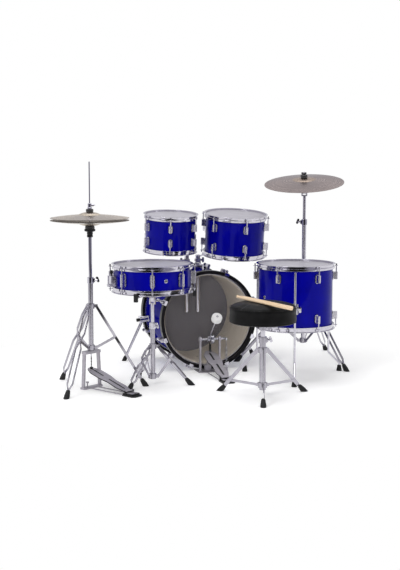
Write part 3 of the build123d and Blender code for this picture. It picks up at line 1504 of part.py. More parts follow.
save("crash_cymbal", *placed(crash_tilt_frame, Pos(0, 0, crash_center_rise) * crash))

# Bass pedal: frame and hoop clamp, footboard, axle with its cam, beater, strap and spring
pedal_x = bass_x - 14.0
pedal_gap = 56.0
pedal_post_half = 50.0
pedal_post_width = 14.0
pedal_post_sheet = 8.0
pedal_base_sheet = 3.0
pedal_axle_z = 163.0
pedal_axle_radius = 4.5
pedal_hinge_x = 246.0
pedal_toe_x = -28.0
pedal_toe_z = 98.0
cam_radius = 24.0
cam_width = 14.0
cam_y = 9.0
beater_hub_y = -5.5
beater_hub_width = 12.0
cam_strap_width = 11.0
cam_strap_sheet = 2.2
beater_lean = 46.0
beater_reach = 176.0
beater_shaft_radius = 3.0
beater_radius = 25.5
beater_width = 32.0
beater_round = 8.0
spring_y = 79.0
spring_radius = 6.0
spring_wire_radius = 1.0
spring_turns = 14
spring_pitch = 4.6
rocker_reach = 16.0

pedal_frame = upright(pedal_x, bass_y - pedal_gap, 0, -90.0)
post_top = pedal_axle_z + 14.0


def pedal_post(side):
    """Make one upright of the bass pedal with the bearing hole for the axle."""
    with BuildPart() as piece:
        with Locations((0, side * pedal_post_half, (post_top + pedal_base_sheet) / 2)):
            Box(pedal_post_width, pedal_post_sheet, post_top - pedal_base_sheet)
        with BuildSketch(Plane(origin=(0, side * pedal_post_half, pedal_axle_z), z_dir=(0, 1, 0))):
            Circle(pedal_post_width * 0.8)
        extrude(amount=pedal_post_sheet / 2 + 2, both=True)
        with BuildSketch(Plane(origin=(0, side * pedal_post_half - 20, pedal_axle_z), z_dir=(0, 1, 0))):
            Circle(pedal_axle_radius + pin_gap)
        extrude(amount=40, mode=Mode.SUBTRACT)
    return piece.part


clamp_x = -pedal_gap - 14.0
base_out = spring_y + 10.0
pedal_base = plate((clamp_x, -pedal_post_half - 12, 0), (22, base_out, pedal_base_sheet))
hoop_floor = bass_z - bass_hoop_bore
jaw_half = 17.0
jaw_sag = bass_hoop_bore - math.sqrt(bass_hoop_bore**2 - (jaw_half + abs(pedal_x - bass_x)) ** 2)
jaw_low = hoop_floor + jaw_sag + seat_gap
with BuildPart() as hoop_clamp:
    with Locations((clamp_x / 2 - 17, 0, jaw_low + 3)):
        Box(-clamp_x - 30, 2 * jaw_half, 6)
    with Locations((-pedal_gap + 20, 0, (pedal_base_sheet + jaw_low) / 2 + 1)):
        Box(12, 2 * jaw_half, jaw_low - pedal_base_sheet + 2)
hoop_screw = Pos(-pedal_gap + 20, 0, jaw_low + 6) * wing_screw()
pedal_wires = []
for side in (-1, 1):
    start = (22, side * wire_rod_half, wire_rod_radius)
    end = (pedal_hinge_x - 8, side * wire_rod_half, wire_rod_radius)
    pedal_wires.append(rod(start, end, wire_rod_radius))
spring_low_z = 22.0
spring_anchor = plate(
    (rocker_reach - 5, spring_y - 8, pedal_base_sheet), (rocker_reach + 5, spring_y + 8, spring_low_z)
)
pedal_pieces = [pedal_base, pedal_post(-1), pedal_post(1), hoop_clamp.part, hoop_screw, *pedal_wires]
pedal_pieces += [spring_anchor, *heel_plate(pedal_hinge_x)]
save("pedal_frame", *placed(pedal_frame, *pedal_pieces))

axle_end = spring_y + 7.0
rocker_low = pedal_axle_z - 6.0
lean_rad = math.radians(beater_lean)
beater_aim = Vector(math.sin(lean_rad), 0, math.cos(lean_rad))
beater_root = Vector(0, beater_hub_y, pedal_axle_z)
with BuildPart() as axle_cam:
    with BuildSketch(Plane(origin=(0, -pedal_post_half - 8, pedal_axle_z), z_dir=(0, 1, 0))):
        Circle(pedal_axle_radius)
    extrude(amount=pedal_post_half + 8 + axle_end)
    with BuildSketch(Plane(origin=(0, cam_y - cam_width / 2, pedal_axle_z), z_dir=(0, 1, 0))):
        Circle(cam_radius)
    extrude(amount=cam_width)
    with BuildSketch(Plane(origin=(0, beater_hub_y - beater_hub_width / 2, pedal_axle_z), z_dir=(0, 1, 0))):
        Circle(11)
    extrude(amount=beater_hub_width)
    with BuildSketch(Plane(origin=beater_root, x_dir=(0, 1, 0), z_dir=beater_aim)):
        Circle(beater_hub_width * 0.42)
    extrude(amount=18)
    with Locations((rocker_reach / 2, spring_y, pedal_axle_z)):
        Box(rocker_reach + 12, 8, 12)
    with BuildSketch(Plane(origin=beater_root, x_dir=(0, 1, 0), z_dir=beater_aim)):
        Circle(beater_shaft_radius + seat_gap)
    extrude(amount=40, mode=Mode.SUBTRACT)
beater_end = beater_root + beater_aim * beater_reach
beater_half = beater_width / 2
with BuildPart() as beater_felt:
    with BuildSketch(Plane(origin=beater_end - beater_aim * beater_half, x_dir=(0, 1, 0), z_dir=beater_aim)):
        Circle(beater_radius)
    extrude(amount=beater_width)
    fillet(beater_felt.edges(), beater_round)
    with BuildSketch(Plane(origin=beater_end - beater_aim * 60, x_dir=(0, 1, 0), z_dir=beater_aim)):
        Circle(beater_shaft_radius + seat_gap)
    extrude(amount=60 + 2 * beater_half, mode=Mode.SUBTRACT)
beater_shaft = rod(
    beater_root + beater_aim * 1.0, beater_end + beater_aim * (beater_half + 1.0), beater_shaft_radius
)
save("pedal_axle_cam", *placed(pedal_frame, axle_cam.part))
save("pedal_beater", *placed(pedal_frame, beater_felt.part, beater_shaft))

strap_x = -cam_radius - seat_gap * 3 - cam_strap_sheet
strap_low = pedal_toe_z + 6.0
strap_middle = strap_x + cam_strap_sheet / 2
pedal_board = footboard(
    pedal_hinge_x, pedal_toe_x, pedal_toe_z, strap_middle + 2.0, cam_y, strap_low - seat_gap
)
save("pedal_footboard", *placed(pedal_frame, pedal_board))
save(
    "pedal_strap",
    *placed(
        pedal_frame,
        plate(
            (strap_x, cam_y - cam_strap_width / 2, strap_low),
            (strap_x + cam_strap_sheet, cam_y + cam_strap_width / 2, pedal_axle_z),
        ),
    ),
)

# The return spring: close turns between two straight ends on its own axis
coil_height = spring_turns * spring_pitch
coil_low = (spring_low_z + rocker_low - coil_height) / 2
slope_rise = spring_pitch / (2 * math.pi)


def coil_point(angle):
    """Return the point of the coil's middle line at an angle in radians, and its direction."""
    point = Vector(
        spring_radius * math.cos(angle), spring_radius * math.sin(angle), coil_low + slope_rise * angle
    )
    heading = Vector(-spring_radius * math.sin(angle), spring_radius * math.cos(angle), slope_rise)
    return point, heading.normalized()


def biarc(start, heading, end, end_heading):
    """Add two arcs that leave start along a heading and reach end along another."""
    chord = end - start
    both = heading + end_heading
    bend = 2 * (1 - heading.dot(end_heading))
    along = chord.dot(both)
    span = (-along + math.sqrt(along**2 + bend * chord.dot(chord))) / bend
    middle = (start + end + (heading - end_heading) * span) * 0.5
    middle_heading = (end - end_heading * span) - (start + heading * span)
    TangentArc(start, middle, tangent=heading)
    TangentArc(middle, end, tangent=middle_heading)


spring_tail = 2.5 * spring_radius
spring_low_end = Vector(0, 0, spring_low_z + seat_gap * 3)
spring_top_end = Vector(0, 0, rocker_low - seat_gap * 3)
upward = Vector(0, 0, 1)
with BuildPart() as spring:
    with BuildLine() as spring_path:
        first, first_heading = coil_point(0)
        last, last_heading = coil_point(2 * math.pi * spring_turns)
        low_bend = Vector(0, 0, first.Z - spring_tail)
        top_bend = Vector(0, 0, last.Z + spring_tail)
        Line(spring_low_end, low_bend)
        biarc(low_bend, upward, first, first_heading)
        for half in range(2 * spring_turns):
            here, here_heading = coil_point(math.pi * half)
            there, there_heading = coil_point(math.pi * (half + 1))
            biarc(here, here_heading, there, there_heading)
        biarc(last, last_heading, top_bend, upward)
        Line(top_bend, spring_top_end)
    with BuildSketch(Plane(origin=spring_low_end, z_dir=upward)):
        Circle(spring_wire_radius)
    sweep(path=spring_path.line)
spring_foot = pedal_frame.from_local_coords(Vector(rocker_reach, spring_y, 0))
spring_frame = Plane(origin=spring_foot, x_dir=pedal_frame.x_dir, z_dir=(0, 0, 1))
save("pedal_spring", *placed(spring_frame, spring.part))
spring_wire = spring_path.wire()
spring_points = [spring_wire @ (step / 1500) for step in range(1501)]
turn_span = 2 * math.pi * spring_radius
point_step = spring_wire.length / 1500
skip = int(turn_span * 0.5 / point_step)
closest = min(
    (spring_points[i] - spring_points[j]).length
    for i in range(0, 1501, 3)
    for j in range(i + skip, min(i + 4 * skip, 1501))
)
print(f"spring: least gap to itself {closest - 2 * spring_wire_radius:.2f} mm")

# Throne: tripod, sliding post, swivelling seat, and a pair of sticks that lie on it
seat_radius = 155.0
seat_low = 333.0
seat_high = 428.0
seat_board_radius = 141.0
seat_side_pull = 6.0
seat_shoulder = 14.0
seat_crown = 8.0
socket_radius = 17.0
socket_low = 300.0
bracket_bar = 30.0
bracket_sheet = 5.0
post_low = 130.0

throne_ground = upright(throne_x, throne_y)
throne_metal, throne_feet = tripod(
    throne_pivot_z, throne_brace_z, throne_reach, throne_turn, throne_tube_radius, throne_post_radius,
    throne_brace_z - tube_tail - 8, throne_clamp_z, throne_clamp_turn, False,
)
save("throne_tripod", *placed(throne_ground, *throne_metal))
feet += placed(throne_ground, *throne_feet)
post_end = seat_low - bracket_sheet - 2.0
throne_post = rod((0, 0, post_low), (0, 0, post_end), throne_post_radius)
save("throne_post", *placed(throne_ground, throne_post))

with BuildPart() as seat_bracket:
    with BuildSketch(Plane.XY.offset(seat_low - bracket_sheet)):
        Rectangle(2 * seat_board_radius - 40, bracket_bar)
        Rectangle(bracket_bar, 2 * seat_board_radius - 40)
    extrude(amount=bracket_sheet - seat_gap)
    with BuildSketch(Plane.XY.offset(socket_low)):
        Circle(socket_radius)
    extrude(amount=seat_low - bracket_sheet - socket_low)
    with BuildSketch(Plane.XY.offset(socket_low)):
        Circle(throne_post_radius + slide_gap)
    extrude(amount=post_end - socket_low + 0.5, mode=Mode.SUBTRACT)
seat_screw_seat = Plane(origin=(socket_radius, 0, socket_low + 12), x_dir=(0, 0, 1), z_dir=(1, 0, 0))
save("throne_seat_bracket", *placed(throne_ground, seat_bracket.part, *placed(seat_screw_seat, wing_screw())))

seat_mid = (seat_low + seat_high) / 2
top_edge = seat_high - seat_crown
flat_run = seat_radius - seat_shoulder * 1.3
crown_radius = (flat_run**2 + seat_crown**2) / (2 * seat_crown)
half_arc = math.asin(flat_run / crown_radius) / 2
crown_middle = (crown_radius * math.sin(half_arc), seat_high - crown_radius * (1 - math.cos(half_arc)))
with BuildPart() as seat:
    with BuildSketch(Plane.XZ):
        with BuildLine():
            Line((0, seat_low), (seat_board_radius, seat_low))
            ThreePointArc(
                (seat_board_radius, seat_low),
                (seat_radius - seat_side_pull * 0.4, seat_low + seat_shoulder * 0.8),
                (seat_radius - seat_side_pull * 0.2, seat_low + seat_shoulder * 2),
            )
            ThreePointArc(
                (seat_radius - seat_side_pull * 0.2, seat_low + seat_shoulder * 2),
                (seat_radius - seat_side_pull, seat_mid),
                (seat_radius, top_edge - seat_shoulder * 1.6),
            )
            ThreePointArc(
                (seat_radius, top_edge - seat_shoulder * 1.6),
                (seat_radius - seat_side_pull * 0.9, top_edge - seat_shoulder * 0.45),
                (flat_run, top_edge),
            )
            ThreePointArc((flat_run, top_edge), crown_middle, (0, seat_high))
            Line((0, seat_high), (0, seat_low))
        make_face()
    revolve(axis=Axis.Z)
save("throne_seat", *placed(throne_ground, seat.part))

stick_length = 406.0
stick_radius = 7.0
stick_tip_radius = 5.0
stick_neck_radius = 3.6
stick_taper = 75.0
stick_turn = -73.6
stick_offset = 44.5
stick_slide = 64.0
stick_spacing = 15.5
stick_slope = 1.0
stick_spread = 0.5

drumstick = turned(
    (0, 0),
    (stick_radius - 2, 0),
    (stick_radius, 3),
    (stick_radius, stick_length - stick_taper),
    (stick_neck_radius, stick_length - 12),
    (stick_tip_radius, stick_length - 8),
    (stick_tip_radius - 1, stick_length - 2),
    (0, stick_length),
)


def stick_frame(offset, slide, turn):
    """Return the frame of a stick that lies on the crown of the seat, its butt past the edge."""
    heading = Vector(1, 0, 0).rotate(Axis.Z, turn)
    beside = Vector(0, 1, 0).rotate(Axis.Z, turn)
    touch = crown_radius * math.sin(math.radians(stick_slope))
    spot = beside * offset + heading * touch
    height = seat_high - spot.dot(spot) / (2 * crown_radius) + stick_radius + 0.3
    fall = Vector(heading.X, heading.Y, -math.tan(math.radians(stick_slope))).normalized()
    rest = Vector(throne_x, throne_y, 0) + spot + Vector(0, 0, height)
    butt = rest + fall * (stick_length / 2 + slide - touch)
    return Plane(origin=butt, x_dir=beside, z_dir=fall * -1)


near_frame = stick_frame(-stick_offset, stick_slide, stick_turn)
far_frame = stick_frame(-stick_offset + stick_spacing, stick_slide - 20, stick_turn + stick_spread)
near_stick = placed(near_frame, drumstick)
far_stick = placed(far_frame, drumstick)
save("drumsticks", *near_stick, *far_stick)
save("rubber_feet", *feet)
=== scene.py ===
import math
from collections import namedtuple

import bmesh
import bpy
import numpy as np
from mathutils import Matrix, Vector, noise


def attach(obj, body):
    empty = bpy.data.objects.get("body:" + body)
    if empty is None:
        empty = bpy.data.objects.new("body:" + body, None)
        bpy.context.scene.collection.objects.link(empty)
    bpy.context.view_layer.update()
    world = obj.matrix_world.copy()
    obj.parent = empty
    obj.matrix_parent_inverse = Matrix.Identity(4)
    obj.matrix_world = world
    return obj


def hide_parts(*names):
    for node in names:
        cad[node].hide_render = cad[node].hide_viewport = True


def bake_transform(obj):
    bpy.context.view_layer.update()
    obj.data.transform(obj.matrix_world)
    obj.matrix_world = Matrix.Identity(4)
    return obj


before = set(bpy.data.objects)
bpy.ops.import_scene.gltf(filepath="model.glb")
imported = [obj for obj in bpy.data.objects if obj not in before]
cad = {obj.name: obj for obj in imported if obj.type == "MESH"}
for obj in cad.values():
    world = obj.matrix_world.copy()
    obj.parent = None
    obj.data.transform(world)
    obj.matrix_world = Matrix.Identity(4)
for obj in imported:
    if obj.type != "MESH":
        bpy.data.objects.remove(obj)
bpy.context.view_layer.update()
scene = bpy.context.scene
scene.view_settings.view_transform = "Standard"
MM = 0.001
UP = Vector((0, 0, 1))

# Places in metres: the middle of each drum, the pin of the crash's tilter, and the foot of the rest
BASS = Vector((0.0223, 0.4601, 0.2502))
TOM_LEFT = Vector((-0.1057, 0.5093, 0.671))
TOM_RIGHT = Vector((0.2353, 0.4933, 0.655))
FLOOR_TOM = Vector((0.3728, -0.0197, 0.3965))
SNARE = Vector((-0.3397, -0.0157, 0.507))
CRASH = Vector((0.5603, 0.3423, 0.874))
HIHAT = Vector((-0.6317, -0.0097, 0.0))
PEDAL = Vector((0.0083, 0.1983, 0.0))
THRONE = Vector((0.0635, -0.4115, 0.0))

# Where the toms and the crash lean to, and how far the crash leans
STOOL_VIEW = math.radians(-107.0)
CRASH_VIEW = math.radians(-123.3)
CRASH_LEAN = math.radians(11.45)


def heading(angle):
    """Return the level direction at an angle in radians."""
    return Vector((math.cos(angle), math.sin(angle), 0))


def lean_axis(lean, roll):
    """Return the axis of a drum that leans toward the stool and rolls to the right, in degrees."""
    toward = heading(STOOL_VIEW) * math.tan(math.radians(lean))
    right = heading(STOOL_VIEW + math.pi / 2) * math.tan(math.radians(roll))
    return (UP + toward + right).normalized()


CRASH_AXIS = (UP + heading(CRASH_VIEW) * math.tan(CRASH_LEAN)).normalized()

Drum = namedtuple("Drum", "centre axis radius wall")
DRUMS = {
    "bass": Drum(BASS, Vector((0, 1, 0)), 0.2286, 0.008),
    "tom_left": Drum(TOM_LEFT, lean_axis(5.0, 1.7), 0.127, 0.007),
    "tom_right": Drum(TOM_RIGHT, lean_axis(6.0, 2.6), 0.1524, 0.007),
    "floor_tom": Drum(FLOOR_TOM, UP, 0.1778, 0.007),
    "snare": Drum(SNARE, UP, 0.1778, 0.007),
}


# Shader nodes
def add(tree, kind, inputs=(), **props):
    """Add a shader node, set its properties, and set or link its inputs."""
    made = tree.nodes.new("ShaderNode" + kind)
    for key, value in props.items():
        setattr(made, key, value)
    for key, value in dict(inputs).items():
        if isinstance(value, bpy.types.NodeSocket):
            tree.links.new(value, made.inputs[key])
        else:
            made.inputs[key].default_value = value
    return made


def feed(shader, socket, value):
    """Link a value to one of a shader's sockets."""
    shader.id_data.links.new(value, shader.inputs[socket])


def combine(tree, operation, *inputs):
    """Add a calculation with numbers and return its result."""
    return add(tree, "Math", dict(enumerate(inputs)), operation=operation).outputs[0]


def vector(tree, operation, *inputs, **named):
    """Add a calculation with vectors and return its result."""
    settings = {**dict(enumerate(inputs)), **named}
    made = add(tree, "VectorMath", settings, operation=operation)
    return made.outputs["Value" if operation in ("DOT_PRODUCT", "LENGTH") else "Vector"]


def cloud(tree, where, scale, detail=3.0, rough=0.55, **inputs):
    """Add a noise texture and return its value."""
    settings = {"Vector": where, "Scale": scale, "Detail": detail, "Roughness": rough, **inputs}
    return add(tree, "TexNoise", settings).outputs["Fac"]


def cells(tree, where, scale):
    """Add a texture of rounded cells and return the distance from their middles."""
    settings = {"Vector": where, "Scale": scale}
    return add(tree, "TexVoronoi", settings, feature="SMOOTH_F1").outputs["Distance"]


def stretch(tree, where, scale, turn=(0, 0, 0)):
    """Return coordinates that are turned and scaled along each axis."""
    return add(tree, "Mapping", {"Vector": where, "Scale": scale, "Rotation": turn}).outputs[0]


def span(tree, value, low, high, start=0.3, end=0.7):
    """Map a value between start and end to the range from low to high."""
    settings = {"Value": value, "From Min": start, "From Max": end, "To Min": low, "To Max": high}
    return add(tree, "MapRange", settings).outputs[0]


def between(tree, factor, first, second):
    """Mix two colours by a factor."""
    made = add(tree, "Mix", data_type="RGBA")
    tree.links.new(factor, made.inputs[0])
    for index, colour in ((6, first), (7, second)):
        if isinstance(colour, bpy.types.NodeSocket):
            tree.links.new(colour, made.inputs[index])
        else:
            made.inputs[index].default_value = (*colour, 1)
    return made.outputs[2]


def tint(tree, shader, pattern, dark, light):
    """Colour a shader from dark to light by a pattern."""
    feed(shader, "Base Color", between(tree, span(tree, pattern, 0.0, 1.0), dark, light))


def roughen(tree, shader, pattern, low, high):
    """Let a shader's roughness run from low to high by a pattern."""
    feed(shader, "Roughness", span(tree, pattern, low, high))


def relief(tree, shader, height, strength, depth, below=None, socket="Normal"):
    """Add a bump of a depth in metres, over another bump if there is one."""
    inputs = {"Height": height, "Strength": strength, "Distance": depth}
    if below is not None:
        inputs["Normal"] = below
    made = add(tree, "Bump", inputs).outputs[0]
    feed(shader, socket, made)
    return made


def times(colour, share):
    """Return a colour with each channel multiplied by a share."""
    return tuple(channel * share for channel in colour)


# Materials
def finish(name, colour, sockets):
    """Start a material and return it with its node tree, its shader and its coordinates."""
    material = bpy.data.materials.new(name)
    material.use_nodes = True
    tree = material.node_tree
    shader = tree.nodes["Principled BSDF"]
    shader.inputs["Base Color"].default_value = (*colour, 1)
    for key, value in sockets.items():
        shader.inputs[key].default_value = value
    return material, tree, shader, add(tree, "TexCoord").outputs["Object"]


def lacquer(name, dark, light, coat=0.55, shine=0.02):
    """Make a gloss lacquer over wood: a little cloudy, with the faint ripple of a sprayed coat."""
    sockets = {
        "Coat Weight": coat, "Coat Roughness": 0.02, "Coat IOR": 1.21, "Specular IOR Level": shine,
    }
    material, tree, shader, where = finish(name, light, sockets)
    tint(tree, shader, cloud(tree, where, 11.0), dark, light)
    roughen(tree, shader, cloud(tree, where, 45.0), 0.3, 0.4)
    ripple = cloud(tree, where, 60.0, detail=2.0)
    relief(tree, shader, ripple, strength=0.03, depth=0.0006, socket="Coat Normal")
    return material


def plated(name, colour, low, high, scratch=0.08):
    """Make polished plating: smudged roughness from low to high and fine wiping scratches."""
    material, tree, shader, where = finish(name, colour, {"Metallic": 1.0})
    roughen(tree, shader, cloud(tree, where, 34.0, detail=5.0, rough=0.65), low, high)
    tint(tree, shader, cloud(tree, where, 90.0, detail=4.0), times(colour, 0.86), colour)
    wiped = stretch(tree, where, (900, 900, 60), turn=(0.3, 0.2, 0))
    relief(tree, shader, cloud(tree, wiped, 1.0, detail=2.0), strength=scratch, depth=0.0001)
    return material


def cast(name, colour, low, high, metal=0.9):
    """Make a satin cast or painted metal with a fine grain and roughness from low to high."""
    material, tree, shader, where = finish(name, colour, {"Metallic": metal})
    tint(tree, shader, cloud(tree, where, 70.0, detail=5.0), times(colour, 0.78), colour)
    roughen(tree, shader, cloud(tree, where, 120.0), low, high)
    relief(tree, shader, cloud(tree, where, 420.0), strength=0.25, depth=0.0003)
    return material


def moulded(name, colour, low, high, depth=0.0003):
    """Make moulded rubber or plastic with a fine stipple and dusty patches."""
    material, tree, shader, where = finish(name, colour, {"Specular IOR Level": 0.3})
    patches = cloud(tree, where, 38.0, detail=6.0, rough=0.7)
    dust = span(tree, patches, 0.0, 1.0, start=0.45, end=0.8)
    dusty = tuple(channel + 0.01 for channel in colour)
    feed(shader, "Base Color", between(tree, dust, colour, dusty))
    roughen(tree, shader, cloud(tree, where, 60.0), low, high)
    relief(tree, shader, cloud(tree, where, 900.0, detail=2.0), strength=0.3, depth=depth)
    return material


def felted(name, dark, light):
    """Make pressed felt: matted fibres, soft sheen and pale flecks."""
    sockets = {
        "Roughness": 0.95, "Sheen Weight": 0.35, "Sheen Roughness": 0.6, "Specular IOR Level": 0.1,
    }
    material, tree, shader, where = finish(name, light, sockets)
    fibres = cloud(tree, where, 650.0, detail=6.0, rough=0.75, Distortion=1.6)
    tint(tree, shader, fibres, dark, light)
    relief(tree, shader, fibres, strength=0.8, depth=0.0012)
    return material


def grained(name, dark, light, along, gloss=0.0):
    """Make wood whose grain runs long where the stretch along an axis is small."""
    sockets = {"Coat Weight": gloss, "Coat Roughness": 0.25}
    material, tree, shader, where = finish(name, light, sockets)
    lines = cloud(tree, stretch(tree, where, along), 1.0, detail=6.0, rough=0.6, Distortion=0.5)
    pores = cloud(tree, stretch(tree, where, times(along, 5)), 1.0)
    tone = between(tree, span(tree, lines, 0.0, 1.0), dark, light)
    in_pores = span(tree, pores, 0.0, 0.5, start=0.55, end=0.8)
    feed(shader, "Base Color", between(tree, in_pores, tone, times(dark, 0.72)))
    roughen(tree, shader, lines, 0.42, 0.6)
    relief(tree, shader, pores, strength=0.15, depth=0.0002)
    return material


def film(name, dark, light, alpha, rough, ior, speckle):
    """Make drumhead film: partly see-through, with a fine sprayed or moulded speckle."""
    material, tree, shader, where = finish(name, light, {"Alpha": alpha, "IOR": ior})
    tint(tree, shader, cloud(tree, where, 16.0, detail=4.0), dark, light)
    roughen(tree, shader, cloud(tree, where, 25.0), rough, rough * 1.5)
    relief(tree, shader, cloud(tree, where, 1400.0, detail=2.0), strength=speckle, depth=0.0002)
    return material


def bronze(name, centre, axis, bell, dark, light, bell_tone):
    """Make lathed and hammered cymbal bronze about an axis, with another tone on its bell."""
    material, tree, shader, where = finish(name, light, {"Metallic": 1.0, "Anisotropic": 0.55})
    offset = vector(tree, "SUBTRACT", where, centre)
    shaft = vector(tree, "SCALE", axis, Scale=vector(tree, "DOT_PRODUCT", offset, axis))
    radius = vector(tree, "LENGTH", vector(tree, "SUBTRACT", offset, shaft))
    bands, grooves = (
        add(
            tree, "TexNoise", {"W": radius, "Scale": scale, "Detail": 3.0}, noise_dimensions="1D",
        ).outputs["Fac"]
        for scale in (150.0, 900.0)
    )
    tone = between(tree, span(tree, bands, 0.0, 1.0), dark, light)
    patina = span(tree, cloud(tree, where, 14.0, detail=4.0), 0.0, 0.35, start=0.4, end=0.75)
    tone = between(tree, patina, tone, times(dark, 0.8))
    in_bell = span(tree, radius, 1.0, 0.0, start=bell, end=bell + 0.004)
    feed(shader, "Base Color", between(tree, in_bell, tone, bell_tone))
    roughen(tree, shader, bands, 0.26, 0.4)
    lathed = relief(tree, shader, grooves, strength=0.35, depth=0.0004)
    relief(tree, shader, cells(tree, where, 62.0), strength=0.22, depth=0.0012, below=lathed)
    tangent = add(tree, "Tangent", direction_type="RADIAL", axis="Z").outputs[0]
    feed(shader, "Tangent", tangent)
    return material


def vinyl(name, dark, light):
    """Make seat vinyl: a pebbled grain with creases and a soft sheen."""
    sockets = {"Sheen Weight": 0.02, "Specular IOR Level": 0.08}
    material, tree, shader, where = finish(name, light, sockets)
    tint(tree, shader, cloud(tree, where, 26.0, detail=5.0), dark, light)
    roughen(tree, shader, cloud(tree, where, 80.0), 0.36, 0.5)
    grain = relief(tree, shader, cells(tree, where, 620.0), strength=0.35, depth=0.0006)
    creases = cloud(tree, where, 45.0, detail=5.0, rough=0.7)
    relief(tree, shader, creases, strength=0.12, depth=0.002, below=grain)
    return material


def woven(name, colour):
    """Make a woven strap: crossed threads in two directions."""
    sockets = {"Roughness": 0.8, "Sheen Weight": 0.2}
    material, tree, shader, where = finish(name, colour, sockets)
    settings = {"Vector": where, "Scale": 260.0, "Distortion": 0.4}
    threads = [
        add(tree, "TexWave", settings, bands_direction=axis).outputs["Fac"] for axis in ("X", "Z")
    ]
    weave = combine(tree, "MULTIPLY", *threads)
    feed(shader, "Base Color", between(tree, weave, colour, times(colour, 2.2)))
    relief(tree, shader, weave, strength=0.6, depth=0.0006)
    return material


BLUES = ((0.0008, 0.0008, 0.185), (0.001, 0.001, 0.25))
BLUE = lacquer("blue_lacquer", *BLUES)
BASS_BLUE = lacquer("bass_blue_lacquer", *BLUES, coat=0.2, shine=0.0)
BLACK_WOOD = lacquer("black_wood", (0.004, 0.004, 0.005), (0.009, 0.008, 0.010))
CHROME = plated("chrome", (0.66, 0.645, 0.71), 0.05, 0.14)
SATIN_CHROME = plated("satin_chrome", (0.46, 0.445, 0.495), 0.17, 0.27, scratch=0.05)
# A paler copy of the chrome: painted light that lifts the lugs and the crash stand's tubes
PAINTED_LIGHT_CHROME = plated("chrome_painted_lighter", (0.74, 0.72, 0.78), 0.22, 0.32, scratch=0.05)
STEEL = plated("bright_steel", (0.58, 0.575, 0.62), 0.2, 0.34, scratch=0.12)
SILVER_PAINT = cast("silver_paint", (0.45, 0.428, 0.475), 0.34, 0.46, metal=0.45)
DARK_METAL = cast("dark_metal", (0.05, 0.05, 0.055), 0.4, 0.55)
RUBBER = moulded("black_rubber", (0.009, 0.009, 0.010), 0.5, 0.72)
PLASTIC = moulded("black_plastic", (0.008, 0.008, 0.009), 0.28, 0.42, depth=0.00015)
BLACK_FELT = felted("black_felt", (0.008, 0.008, 0.009), (0.035, 0.034, 0.036))
WHITE_FELT = felted("white_felt", (0.66, 0.65, 0.64), (0.88, 0.87, 0.865))
# The bass drum's inside wood is painted lighter than the toms': painted light that makes up for the
# dim light inside the bass drum
INNER_WOOD = grained("shell_inside", (0.76, 0.68, 0.56), (0.90, 0.83, 0.72), along=(7, 130, 7))
INNER_WOOD_UPRIGHT = grained(
    "shell_inside_upright", (0.66, 0.58, 0.45), (0.82, 0.74, 0.61), along=(7, 7, 130),
)
PLY_EDGE = grained("ply_edge", (0.44, 0.37, 0.29), (0.66, 0.58, 0.48), along=(40, 600, 40))
MAPLE = grained("maple", (0.62, 0.44, 0.27), (0.80, 0.63, 0.44), along=(110, 110, 7), gloss=0.25)
CLEAR_HEAD = film(
    "clear_head", (0.44, 0.425, 0.475), (0.51, 0.495, 0.55),
    alpha=0.88, rough=0.3, ior=1.45, speckle=0.15,
)
SMOKY_HEAD = film(
    "smoky_head", (0.30, 0.29, 0.31), (0.36, 0.35, 0.37),
    alpha=0.07, rough=0.06, ior=1.45, speckle=0.02,
)
# The collar's opaque pale grey is the bent film plus a painted reflection of the light ring round
# the head's edge
COLLAR = film(
    "head_collar", (0.36, 0.345, 0.36), (0.46, 0.445, 0.46),
    alpha=1.0, rough=0.25, ior=1.5, speckle=0.02,
)
DARK_HEAD = film(
    "dark_head", (0.103, 0.095, 0.106), (0.122, 0.113, 0.126),
    alpha=1.0, rough=0.35, ior=1.4, speckle=0.01,
)
HAT_BRONZE = bronze(
    "hat_bronze", HIHAT, UP, 0.052,
    dark=(0.46, 0.405, 0.34), light=(0.58, 0.525, 0.45), bell_tone=(0.54, 0.475, 0.385),
)
CRASH_BRONZE = bronze(
    "crash_bronze", CRASH, CRASH_AXIS, 0.058,
    dark=(0.30, 0.245, 0.23), light=(0.36, 0.30, 0.285), bell_tone=(0.38, 0.30, 0.245),
)
VINYL = vinyl("black_vinyl", (0.004, 0.004, 0.0042), (0.008, 0.0078, 0.008))
STRAP = woven("black_strap", (0.012, 0.012, 0.012))


# CAD nodes: their materials, and eased edges
def loose_pieces(node):
    """Return the number of the loose piece that each face belongs to, and each piece's points."""
    mesh = cad[node].data
    spots = {}
    spot_of = [
        spots.setdefault(tuple(round(value, 6) for value in vert.co), len(spots))
        for vert in mesh.vertices
    ]
    root = list(range(len(spots)))

    def find(index):
        while root[index] != index:
            root[index] = root[root[index]]
            index = root[index]
        return index

    for face in mesh.polygons:
        first = find(spot_of[face.vertices[0]])
        for corner in face.vertices[1:]:
            root[find(spot_of[corner])] = first
    numbers = {}
    face_piece = [
        numbers.setdefault(find(spot_of[face.vertices[0]]), len(numbers)) for face in mesh.polygons
    ]
    points = [[] for _ in numbers]
    for spot, index in spots.items():
        points[numbers[find(index)]].append(spot)
    return face_piece, [np.array(group) for group in points]


def paint(node, materials, pick=None):
    """Give a CAD node its materials. pick tells the number of the one that a face takes."""
    mesh = cad[node].data
    mesh.materials.clear()
    for material in materials:
        mesh.materials.append(material)
    for face in mesh.polygons:
        face.material_index = int(pick(face)) if pick else 0


def paint_pieces(node, materials, pick):
    """Give each loose piece of a CAD node one of the materials, picked from the piece's points."""
    face_piece, points = loose_pieces(node)
    choice = [pick(group) for group in points]
    paint(node, materials, lambda face: choice[face_piece[face.index]])


# The usual width of an eased edge, in millimetres
EDGE = 0.45


